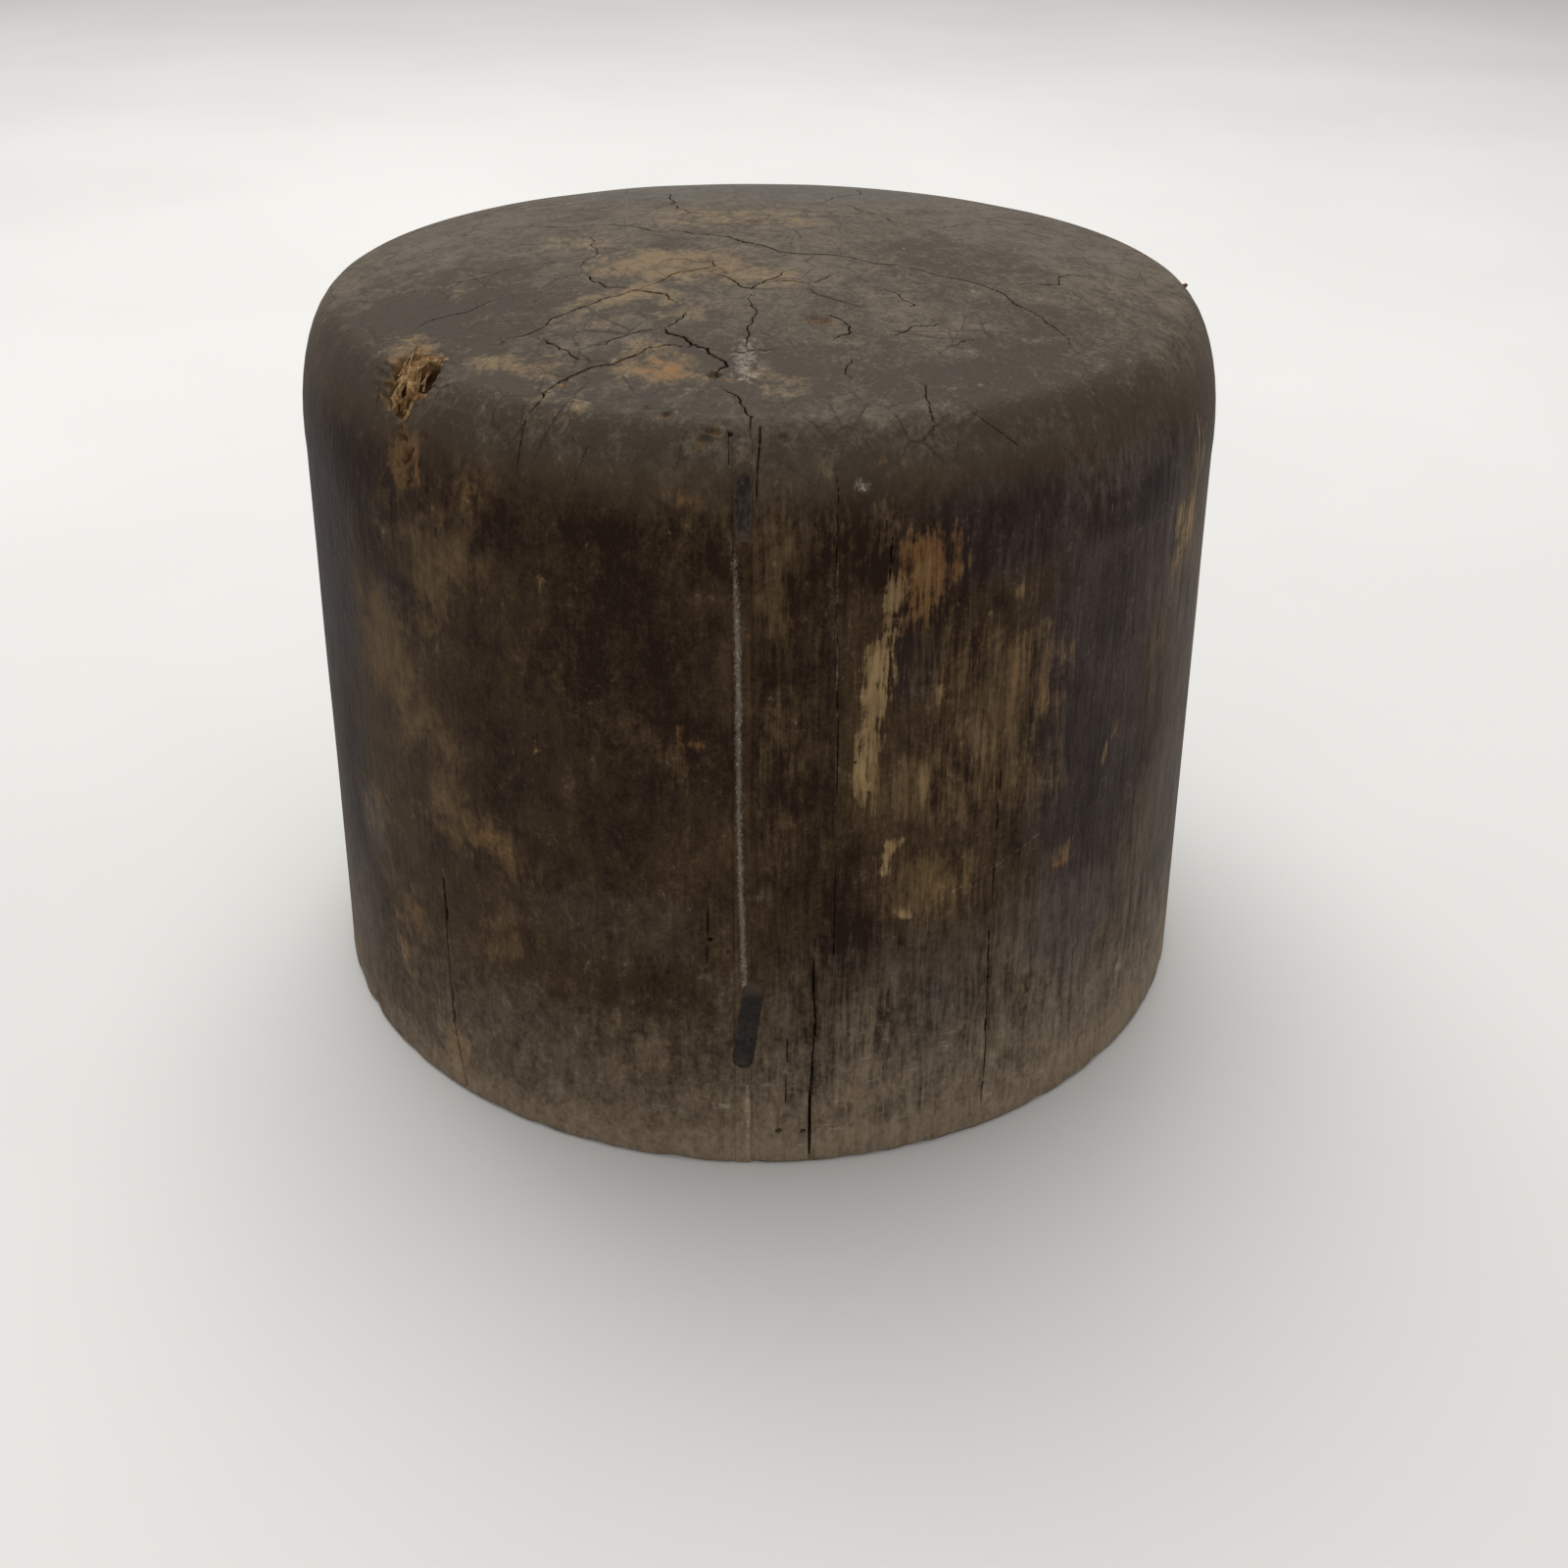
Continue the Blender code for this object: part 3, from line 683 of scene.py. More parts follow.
def turnedBody():
    clearSelection()
    outline = blockOutline()
    bpy.ops.mesh.primitive_plane_add(size=mm, location=(0, 0, outline[0][1]))
    piece = bpy.context.object
    bpy.ops.object.transform_apply(location=True)
    bpy.ops.object.mode_set(mode="EDIT")
    bpy.context.tool_settings.mesh_select_mode = (True, False, False)
    bpy.ops.mesh.merge(type="CENTER")
    for (radius, height), (nextRadius, nextHeight) in zip(outline, outline[1:]):
        step = (nextRadius - radius, 0, nextHeight - height)
        bpy.ops.mesh.extrude_vertices_move(TRANSFORM_OT_translate={"value": step})
    bpy.ops.mesh.select_all(action="SELECT")
    bpy.ops.mesh.spin(steps=block["sides"], angle=2 * math.pi, center=(0, 0, 0), axis=(0, 0, 1))
    bpy.ops.mesh.select_all(action="SELECT")
    bpy.ops.mesh.remove_doubles(threshold=0.01 * mm)
    bpy.ops.mesh.normals_make_consistent(inside=False)
    bpy.ops.object.mode_set(mode="OBJECT")
    points = pointsOf(piece)
    points[:, 1] *= ratio
    movePoints(piece, points)
    return piece


def refineNear(piece, reach, finest):
    # splits the faces that lie within reach of a detail
    mesh = piece.data
    centres = np.empty(len(mesh.polygons) * 3)
    mesh.polygons.foreach_get("center", centres)
    near = detailReach(centres.reshape(-1, 3), finest) < reach
    mesh.vertices.foreach_set("select", np.zeros(len(mesh.vertices), bool))
    mesh.edges.foreach_set("select", np.zeros(len(mesh.edges), bool))
    mesh.polygons.foreach_set("select", near)
    bpy.context.tool_settings.mesh_select_mode = (False, False, True)
    bpy.ops.object.mode_set(mode="EDIT")
    bpy.ops.mesh.subdivide(number_cuts=1, ngon=False)
    bpy.ops.object.mode_set(mode="OBJECT")


def outsideOf(points):
    # the wall and the crown, without the base and the socket
    radius = np.hypot(points[:, 0], points[:, 1] / ratio)
    nearHollow = (radius < 40 * mm) & (points[:, 2] < 60 * mm)
    return (points[:, 2] > 1.0 * mm) & ~nearHollow


def settleOnProfile(points):
    # puts points that a split left on a straight edge back on the true profile
    radius = np.hypot(points[:, 0], points[:, 1] / ratio)
    height = points[:, 2]
    outside = outsideOf(points)
    onCorner = outside & (height > shoulderHeight) & (radius > crownRadius)
    across = np.clip((radius - crownRadius) / block["cornerReach"], 1e-9, None)
    up = np.clip((height - shoulderHeight) / block["cornerRise"], 1e-9, None)
    power = block["cornerPower"]
    shrink = (across ** power + up ** power) ** (-1 / power)
    newRadius, newHeight = radius.copy(), height.copy()
    newRadius[onCorner] = (crownRadius + block["cornerReach"] * across * shrink)[onCorner]
    newHeight[onCorner] = (shoulderHeight + block["cornerRise"] * up * shrink)[onCorner]
    onWallOnly = outside & (height <= shoulderHeight)
    newRadius[onWallOnly] = profileRadius(height[onWallOnly])
    onTop = outside & (height > shoulderHeight) & (radius <= crownRadius)
    newHeight[onTop] = profileHeight(radius[onTop])
    grow = newRadius / np.maximum(radius, 1e-9)
    return np.stack((points[:, 0] * grow, points[:, 1] * grow, newHeight), axis=1)


def patchStrength(points, place, across, up, halfAcross, halfUp, lean=0):
    # 1 in the middle of a rounded patch, 0 outside it
    turn = math.radians(lean)
    away = points - place
    sideways, upwards = away @ across, away @ up
    u = sideways * math.cos(turn) + upwards * math.sin(turn)
    v = upwards * math.cos(turn) - sideways * math.sin(turn)
    outward = np.cross(across, up)
    level = (np.abs(u / (halfAcross * mm)) ** 3 + np.abs(v / (halfUp * mm)) ** 3) ** (1 / 3)
    level = np.where(np.abs(away @ outward) < 25 * mm, level, 9)
    return 1 - smoothStep(0.45, 1.25, level)


def wearMask(points, kind):
    total = np.zeros(len(points))
    for angle, height, halfAcross, halfUp, strength, *lean in wallPatches[kind]:
        place = onWall(angle, height)
        across = onWall(angle + 0.5, height) - onWall(angle - 0.5, height)
        up = onWall(angle, min(height + 1, 141)) - onWall(angle, max(height - 1, 0))
        across, up = across / np.linalg.norm(across), up / np.linalg.norm(up)
        halfAcross *= math.radians(1) * float(profileRadius(height * mm)) / mm
        level = patchStrength(points, place, across, up, halfAcross, halfUp, *lean)
        total = np.maximum(total, strength * level)
    across, up = np.array((1.0, 0, 0)), np.array((0, 1.0, 0))
    for x, y, halfAcross, halfUp, strength, *lean in crownPatches[kind]:
        level = patchStrength(points, onCrown(x, y), across, up, halfAcross, halfUp, *lean)
        total = np.maximum(total, strength * level)
    return total


def addWearMasks(piece, points):
    for kind in wallPatches:
        addMask(piece, kind, wearMask(points, kind))
    chalk = np.full(len(points), farOff)
    for width, faintness, corners in chalkLines:
        path = np.array([onWall(*corner) for corner in corners])
        chalk = np.minimum(chalk, reachOf(points, path, 4 * mm)[0] / (width * mm) + faintness)
    addMask(piece, "chalk", chalk)

    # the dusty crown, the dusty foot painted lighter on its lit right and darker on its shaded left, the
    # sides where the grain shows as streaks, and the powder on the crown
    height = points[:, 2]
    crest = smoothStep(shoulderHeight + 7 * mm, shoulderHeight + block["cornerRise"] + 1 * mm, height)
    lowFoot, highFoot = smoothStep(2 * mm, 11 * mm, height), smoothStep(4 * mm, 50 * mm, height)
    foot = 0.45 * (1 - lowFoot) + 0.55 * (1 - highFoot)
    addMask(piece, "crest", crest)
    turned = np.degrees(np.arctan2(points[:, 0], -points[:, 1]))
    rightSide = smoothStep(-14, 12, turned)
    addMask(piece, "streaky", rightSide + 1 - smoothStep(-110, -80, turned))
    # painted light and shade: the foot's pale dust is stronger on the lit right and weaker on the shaded
    # left
    shadedLeft = smoothStep(-100, -72, turned) * (1 - smoothStep(-58, -38, turned))
    litRightLift = 0.45 * rightSide * (1 - smoothStep(62, 100, turned))
    addMask(piece, "foot", foot * (1 + litRightLift - 0.30 * shadedLeft))
    crownDust = np.hypot((points[:, 0] + 0.5 * mm) / 0.28, points[:, 1] + 55 * mm)
    addMask(piece, "powder", (1 - smoothStep(2 * mm, 12 * mm, crownDust)) * crest)


def unevenDepth(points, outside):
    # slow unevenness of hand turning and of drying, and a nibbled foot
    waves = noiseAt(points, 0.034, 1.6) + 0.45 * noiseAt(points, 0.011, 2.2, 5.0)
    ragged = np.maximum(noiseAt(points, 0.006, 1.0, 9.0) + 0.4 * noiseAt(points, 0.0022, 1.0, 3.0), 0)
    nearFoot = 1 - smoothStep(0.4 * mm, 3.2 * mm, points[:, 2])
    rim = nearFoot * smoothStep(89 * mm, 92 * mm, np.hypot(points[:, 0], points[:, 1] / ratio))
    return -block["unevenness"] * waves * outside + block["nibbled"] * ragged * rim


def cutChecks(points, depth, outside):
    nearness = np.full(len(points), farOff)
    for width, deep, path, wanders in checks:
        distance, along = reachOf(points, path, 3 * mm)
        ends = np.minimum(along, 1 - along) if wanders else 1 - along
        taper = 0.35 + 0.65 * smoothStep(0.0, 0.25, ends)
        relative = distance / (width * taper)
        nearness = np.minimum(nearness, relative)
        depth = np.maximum(depth, deep * taper * (1 - smoothStep(0.15, 1.15, relative)))
        lip = (relative > 1.1) & (distance < 1.1 * mm)
        depth = depth - block["checkLip"] * lip * (1 - distance / (1.1 * mm)) * outside
    return depth, nearness


def cutPits(points, depth, nearness):
    # holes and chips: the clean holes are dark inside, the others show rust-brown wood
    rust = np.zeros(len(points))
    for place, radius, deep, redness in pits:
        away = np.linalg.norm(points - place, axis=1) / (radius * mm)
        ragged = away if radius < smallPit else away * (1 + 0.75 * noiseAt(points, 0.0012, 1.0, radius))
        depth = np.maximum(depth, deep * mm * (1 - smoothStep(0.55, 1.0, ragged)))
        rust = np.maximum(rust, redness * (1 - smoothStep(0.5, 1.8, ragged)))
        if redness < 0.1:
            nearness = np.minimum(nearness, away * 0.9)
    return depth, nearness, rust


def cutFrontLine(points, depth):
    # the slot for the strip, and the fills' pockets
    reach = lineReach(points)
    top = frontLine["top"]
    runOut = 1 - smoothStep(top - 3.0 * mm, top + 0.6 * mm, points[:, 2])
    slotShape = 1 - smoothStep(0.0, frontLine["lip"], reach)
    dished = (1 - smoothStep(0.0, 2.6 * mm, reach)) * 0.8 * lineRecess(points[:, 2])
    depth = np.maximum(depth, (slotShape * block["slotDepth"] + dished) * runOut)
    for fill in fills.values():
        pocket = 1 - smoothStep(*fillRim, fillReach(points, fill))
        depth = np.maximum(depth, block["slotDepth"] * pocket)
    return depth


def cutKnotHole(points, depth, rust):
    # the knot's torn hole, with a low ridge of grain round it
    radius = knot["radius"]
    away = np.linalg.norm(points - knot["centre"], axis=1)
    torn = away * (1 + 0.28 * noiseAt(points, 0.0035, 1.0, 2.0) + 0.12 * noiseAt(points, 0.0012, 1.0, 7.0))
    hole = 1 - smoothStep(0.72 * radius, 1.08 * radius, torn)
    roughness = 0.35 * noiseAt(points, 0.0009, 1.0, 4.0) * (1 - smoothStep(radius, 1.6 * radius, away))
    ridge = np.exp(-((away - 1.55 * radius) / (1.6 * mm)) ** 2)
    depth = np.maximum(depth, knot["depth"] * hole) + roughness * mm - 0.35 * mm * ridge
    return depth, np.maximum(rust, 0.8 * (1 - smoothStep(0.9 * radius, 1.35 * radius, torn)))


def makeBlock():
    piece = turnedBody()
    print("block: turned", len(piece.data.polygons), "faces")
    for reach in block["refineReach"]:
        refineNear(piece, reach * mm, reach == block["refineReach"][-1])
    facesOutward(piece)
    points = settleOnProfile(pointsOf(piece))
    movePoints(piece, points)
    normals = normalsOf(piece)
    outside = outsideOf(points)
    triangles = sum(len(face.vertices) - 2 for face in piece.data.polygons)
    print("block: refined to", len(piece.data.polygons), "faces,", triangles, "triangles")

    depth, nearness = cutChecks(points, unevenDepth(points, outside), outside)
    depth, nearness, rust = cutPits(points, depth, nearness)
    depth, rust = cutKnotHole(points, cutFrontLine(points, depth), rust)
    movePoints(piece, points - normals * depth[:, None])

    addMask(piece, "check", nearness)
    addMask(piece, "rust", rust)
    addWearMasks(piece, points)
    addMask(piece, "sawn", (~outside & (points[:, 2] < 0.8 * mm)).astype(float))
    return piece


woodLook = {
    "deep": (0.0160, 0.0064, 0.0028),
    "brown": (0.051, 0.0295, 0.0140),
    "tan": (0.108, 0.070, 0.037),
    "ochre": (0.150, 0.096, 0.044),
    "bare": (0.330, 0.225, 0.110),
    "orange": (0.215, 0.108, 0.038),
    "plumDeep": (0.020, 0.0125, 0.0122),
    "plum": (0.056, 0.041, 0.038),
    # grey of dust with painted sheen, for the wall's film
    "haze": (0.145, 0.120, 0.098),
    "crown": (0.121, 0.099, 0.074),
    "crownDark": (0.056, 0.0445, 0.033),
    "crownWarm": (0.214, 0.147, 0.078),
    # grey of dust with painted sheen, for the crown's film
    "dustSheenGrey": (0.101, 0.097, 0.087),
    "shoulder": (0.082, 0.059, 0.038),
    "endGrain": (0.190, 0.138, 0.086),
    "foot": (0.265, 0.205, 0.142),
    "chalk": (0.50, 0.46, 0.39),
    "check": (0.013, 0.0080, 0.0050),
    "rustDeep": (0.022, 0.009, 0.004),
    "rust": (0.12, 0.058, 0.024),
    "shine": 0.10,
}


def agedWood(name, lift=0.0):
    # lift makes the dark polish paler
    look = woodLook
    mix = Recipe(name, IOR=1.45, Specular_IOR_Level=look["shine"])
    hair = mix.wave(0.00035, 22, 0.0, 2)
    fibre = mix.wave(0.0008, 18, 3.0, 3)
    streak = mix.wave(0.0024, 9, 5.0, 4, 0.6)
    ragged = mix.wave(0.0027, 1.5, 23.0, 5, 0.70, 0.5)
    blotch = mix.wave(0.0056, 1.4, 7.0, 6, 0.68, 0.6)
    cloud = mix.wave(0.019, 1.4, 11.0, 4, 0.55, 0.4)
    speck = mix.wave(0.0010, 1.3, 15.0, 3, 0.65)
    grit = mix.wave(0.00045, 1.2, 35.0, 2, 0.6)
    bare, ochre, orange, dark, plum, haze = (mix.mask(kind) for kind in wallPatches)
    others = ("check", "rust", "chalk", "crest", "foot", "streaky")
    check, rust, chalk, crest, foot, streaky = (mix.mask(kind) for kind in others)
    grain = (streak * 0.20 + fibre * 0.18 + hair * 0.10) * (streaky * 0.70 + 0.30)
    broken = (blotch * 0.44 + ragged * 0.36) * (1 - streaky * 0.35) + grain * 1.7 + speck * 0.12

    # dark polish over brown wood, mottled and streaked
    tone = cloud * 0.20 + blotch * 0.17 + ragged * 0.12 + grain * 0.8 + speck * 0.12 + grit * 0.11
    # the dark mask darkens dark wood, and paints shade down the left side
    tone = tone - dark * 0.32 + (0.44 + lift)
    wood = mix.ramp(tone, (0.10, look["deep"]), (0.50, look["brown"]), (0.95, look["tan"]))
    plumTone = mix.blend(mix.step(tone, 0.05, 0.85), look["plumDeep"], look["plum"])
    stained = mix.step(plum + blotch * 0.20 + grain + cloud * 0.1, 0.10, 1.0)
    wood = mix.blend(stained * 0.85, wood, plumTone)

    # rubbed through to bare wood, in broken streaks
    rubbed = mix.step(ochre + broken + cloud * 0.14, 0.10, 1.30) * mix.step(ochre, 0.0, 0.35)
    rubbed = rubbed * (1 - dark * 0.6)
    wood = mix.blend(rubbed * (streaky * 0.10 + 0.64), wood, look["ochre"])
    rusty = mix.step(orange + broken, 0.34, 1.05) * mix.step(orange, 0.0, 0.35)
    wood = mix.blend(rusty * 0.62, wood, look["orange"])
    worn = mix.step(bare + broken * 0.8, 0.48, 0.80) * mix.step(bare, 0.05, 0.35)
    paleness = mix.step(bare + fibre * 0.30 + ragged * 0.25, 0.45, 1.15)
    bareTone = mix.blend(paleness, look["ochre"], look["bare"])
    wood = mix.blend(worn * 0.86, wood, bareTone)

    # greyed by dust and painted sheen on the crown and the far sides, and dusty at the foot, painted lighter
    # on the lit right and darker on the shaded left
    dustSheenFilm = mix.step(haze + grain * 0.8 + blotch * 0.14 + ragged * 0.12 + speck * 0.1, 0.05, 1.2)
    wood = mix.blend(dustSheenFilm * 0.55, wood, look["haze"])
    mottle = cloud * 0.35 + blotch * 0.50 + ragged * 0.35 + speck * 0.40 + grit * 0.2
    # the dark mask also paints shade on the crown's front edge
    mottle = mix.step(mottle - dark * 0.68 - plum * 0.25, -0.66, 0.54)
    crownTone = mix.blend(mottle, look["crownDark"], look["crown"])
    # the crown's grey, strongest at the back: dust with painted sheen
    crownTone = mix.blend(dustSheenFilm * 0.62, crownTone, look["dustSheenGrey"])
    gold = mix.step(ochre + blotch * 0.50 + ragged * 0.40 + speck * 0.20, 0.30, 1.15)
    gold = gold * mix.step(ochre, 0.05, 0.40)
    crownTone = mix.blend(gold * 0.62, crownTone, look["crownWarm"])
    amber = mix.step(orange + blotch * 0.5 + ragged * 0.4, 0.40, 0.90) * mix.step(orange, 0.05, 0.3)
    crownTone = mix.blend(amber * 0.6, crownTone, look["orange"])
    crownTone = mix.blend(mix.step(crest + blotch * 0.08, 0.30, 1.05), look["shoulder"], crownTone)
    crownFilm = mix.step(crest + ragged * 0.04 + blotch * 0.05, 0.0, 0.95)
    wood = mix.blend(crownFilm * 0.92, wood, crownTone)
    # the foot's pale dust, painted stronger on the lit right and weaker on the shaded left
    footFilm = mix.step(foot + blotch * 0.10 + ragged * 0.08 + grain * 0.45 + speck * 0.07, 0.05, 1.15)
    wood = mix.blend(footFilm * (ragged * 0.22 + speck * 0.16 + grain * 0.5 + 0.72), wood, look["foot"])

    # growth rings in the sawn base, and rust-brown wood in the chips and round the knot
    level = mix.add("ShaderNodeVectorMath", {"operation": "MULTIPLY"}, {0: mix.place, 1: (1, 1 / ratio, 0)})
    radius = mix.add("ShaderNodeVectorMath", {"operation": "LENGTH"}, {0: level}, 1)
    rings = mix.add("ShaderNodeMath", {"operation": "SINE"}, {0: radius * 2900 + cloud * 5.0 + blotch * 1.6})
    ringTone = mix.step(rings * 0.22 + blotch * 0.6 + ragged * 0.4 + speck * 0.5, -0.9, 0.9)
    ringTone = mix.blend(ringTone, look["crownDark"], look["endGrain"])
    wood = mix.blend(mix.mask("sawn") * 0.85, wood, ringTone)
    rustStops = ((0.2, look["rustDeep"]), (0.5, look["rust"]), (0.85, look["ochre"]))
    rustTone = mix.ramp(blotch * 0.4 + speck * 0.5 + 0.5, *rustStops)
    rotted = mix.step(rust + ragged * 0.35 + speck * 0.25, 0.35, 0.95) * mix.step(rust, 0.0, 0.3)
    wood = mix.blend(rotted * 0.85, wood, rustTone)

    # fine crazing in the end grain, small scuffs, powder, chalky lines and lint
    crazing = {"Vector": mix.scaled(0.0068, 3.0, 1.0), "Scale": 1.0}
    edge = mix.add("ShaderNodeTexVoronoi", {"feature": "DISTANCE_TO_EDGE"}, crazing, "Distance")
    edge = edge + blotch * 0.03 + speck * 0.008
    crazed = (1 - mix.step(edge, 0.0, 0.034)) * mix.step(cloud * 0.6 + blotch * 0.6, -0.35, 0.5) * crest
    wood = mix.blend(crazed * 0.55, wood, look["check"])
    scuffs = mix.step(mix.wave(0.0050, 0.09, 31.0, 3, 0.6) + blotch * 0.4, 0.60, 1.15)
    scuffs = scuffs * mix.step(foot, 0.05, 0.6)
    wood = mix.blend(scuffs * 0.30, wood, look["chalk"])
    powder = mix.step(mix.mask("powder") + speck * 0.6 + blotch * 0.4, 0.40, 1.3)
    wood = mix.blend(powder * 0.26, wood, look["chalk"])
    cells = {"Vector": mix.scaled(0.0090, 1.0, 2.0), "Scale": 1.0}
    lint = mix.add("ShaderNodeTexVoronoi", {"feature": "F1"}, cells, "Distance")
    chosen = mix.step(Wire(mix, lint.socket.node.outputs["Color"]), 0.80, 0.82)
    wood = mix.blend((1 - mix.step(lint + speck * 0.010, 0.014, 0.028)) * chosen * 0.5, wood, look["chalk"])
    dust = mix.wave(0.00065, 1.5, 27.0, 2, 0.6)
    chalkLine = 1 - mix.step(chalk + dust * 1.3 + ragged * 0.4 + streak * 0.3, 0.0, 2.3)
    wood = mix.blend(chalkLine * 0.21, wood, look["chalk"])
    crumbs = mix.step(dust + speck * 0.4, 0.22, 0.72) * (1 - mix.step(chalk, 0.8, 3.0))
    wood = mix.blend(crumbs * 0.36, wood, look["chalk"])
    shut = 1 - mix.step(check + speck * 0.30 + blotch * 0.12, 0.35, 1.10)
    wood = mix.blend(shut * 0.84, wood, look["check"])

    # dull all over, and dullest where it is bare or rotten
    roughness = blotch * 0.06 + speck * 0.05 + worn * 0.10 + rust * 0.2 + crownFilm * 0.04 + 0.58
    relief = hair * 0.014 + fibre * 0.032 + streak * 0.03 + speck * 0.030 + ragged * 0.035 + blotch * 0.05
    return mix.finish(wood, roughness, relief - (rubbed + worn) * 0.06 - shut * 0.2 - crazed * 0.06)


pitchLook = {"deep": (0.0150, 0.0115, 0.0105), "pale": (0.034, 0.0275, 0.0250), "rim": (0.062, 0.044, 0.028)}


def pitch():
    look = pitchLook
    mix = Recipe("pitch", IOR=1.5, Specular_IOR_Level=0.12)
    lump, speck = mix.wave(0.0026, 1.6, 1.0, 3), mix.wave(0.0008, 1.5, 4.0, 3)
    tone = mix.blend(mix.step(lump * 0.6 + speck * 0.6, -0.6, 0.8), look["deep"], look["pale"])
    rim = mix.step(mix.mask("rim") + lump * 0.35 + speck * 0.25, 0.35, 0.95)
    tone = mix.blend(rim * 0.85, tone, look["rim"])
    return mix.finish(tone, lump * 0.08 + 0.62, lump * 0.05 + speck * 0.04)


decayLook = {
    "deep": (0.040, 0.016, 0.007),
    "brown": (0.150, 0.078, 0.032),
    "tan": (0.290, 0.180, 0.082),
    "pale": (0.420, 0.295, 0.155),
    "hollowDeep": (0.016, 0.006, 0.003),
    "hollow": (0.095, 0.036, 0.014),
}


def decayedWood():
    look = decayLook
    mix = Recipe("decayedWood", IOR=1.4, Specular_IOR_Level=0.15)
    lump, speck = mix.wave(0.0024, 1.6, 1.0, 5, 0.65), mix.wave(0.0006, 2.5, 4.0, 4, 0.7)
    stops = ((0.10, look["deep"]), (0.36, look["brown"]), (0.62, look["tan"]), (0.92, look["pale"]))
    tone = mix.ramp(lump * 0.34 + speck * 0.30 + 0.48, *stops)
    hollow = mix.step(mix.mask("hollow") + lump * 0.25 + speck * 0.2, 0.30, 0.95)
    hollowTone = mix.blend(mix.step(speck, -0.6, 0.9), look["hollowDeep"], look["hollow"])
    tone = mix.blend(hollow * 0.92, tone, hollowTone)
    return mix.finish(tone, speck * 0.05 + 0.88, lump * 0.16 + speck * 0.12)


ironLook = {
    "bare": (0.058, 0.055, 0.053),
    "stainDeep": (0.075, 0.030, 0.013),
    "stain": (0.19, 0.082, 0.032),
    "rustDeep": (0.040, 0.016, 0.009),
    "rust": (0.120, 0.046, 0.018),
    "rustPale": (0.26, 0.12, 0.045),
}


def castIron():
    look = ironLook
    mix = Recipe("castIron", Metallic=0.75)
    lump, speck = mix.wave(0.011, 1.0, 1.0, 5, 0.6), mix.wave(0.0009, 1.0, 4.0, 3, 0.6)
    rusty = mix.step(lump * 0.7 + speck * 0.35, -0.1, 0.9)
    stain = mix.blend(mix.step(speck, -0.8, 0.8), look["stainDeep"], look["stain"])
    tone = mix.blend(rusty, look["bare"], stain)
    return mix.finish(tone, rusty * 0.35 + 0.46, speck * 0.035 + lump * 0.03 + rusty * 0.03)


def rustyIron():
    look = ironLook
    mix = Recipe("rustyIron", Metallic=0.5)
    lump, speck = mix.wave(0.0024, 1.0, 1.0, 4, 0.6), mix.wave(0.0006, 1.0, 4.0, 3, 0.6)
    stops = ((0.2, look["rustDeep"]), (0.5, look["rust"]), (0.85, look["rustPale"]))
    tone = mix.ramp(lump * 0.28 + speck * 0.22 + 0.5, *stops)
    return mix.finish(tone, speck * 0.08 + 0.72, speck * 0.035 + lump * 0.04)


def surfaceFront(x, height):
    # y of the wall in front, over an x
    radius = profileRadius(height)
    return -ratio * np.sqrt(np.maximum(radius ** 2 - x ** 2, 0))


def makeStrip():
    clearSelection()
    bpy.ops.mesh.primitive_grid_add(x_subdivisions=14, y_subdivisions=460, size=2)
    piece = bpy.context.object
    points = pointsOf(piece)
    foot, top = 0.3 * mm, frontLine["top"] - 0.5 * mm
    height = foot + (points[:, 1] + 1) / 2 * (top - foot)
    across = points[:, 0] * frontLine["halfWidth"]
    flat = np.stack((across, np.zeros(len(across)), height), axis=1)
    worn = 0.05 * mm * noiseAt(flat, 0.004, 4.0, 1.0) + 0.03 * mm * noiseAt(flat, 0.0012, 5.0, 6.0)
    tucked = 0.16 * mm * smoothStep(0.80, 1.0, np.abs(points[:, 0]))
    settled = np.stack((across, surfaceFront(across, height), height), axis=1)
    runOut = smoothStep(top - 3.5 * mm, top, height) * 0.9 * mm
    pocket = np.zeros(len(points))
    for fill in fills.values():
        pocket = np.maximum(pocket, 1 - smoothStep(*fillRim, fillReach(settled, fill)))
    settled[:, 1] += lineRecess(height) + worn + tucked + runOut + pocket * 1.0 * mm
    movePoints(piece, settled)
    applyModifier(piece, "SOLIDIFY", thickness=1.2 * mm, offset=-1)
    facesOutward(piece)
    points = pointsOf(piece)
    points[:, 2] = np.maximum(points[:, 2], 0.05 * mm)
    movePoints(piece, points)
    addMask(piece, "check", np.full(len(points), farOff))
    addMask(piece, "rust", np.zeros(len(points)))
    addWearMasks(piece, points)
    return piece


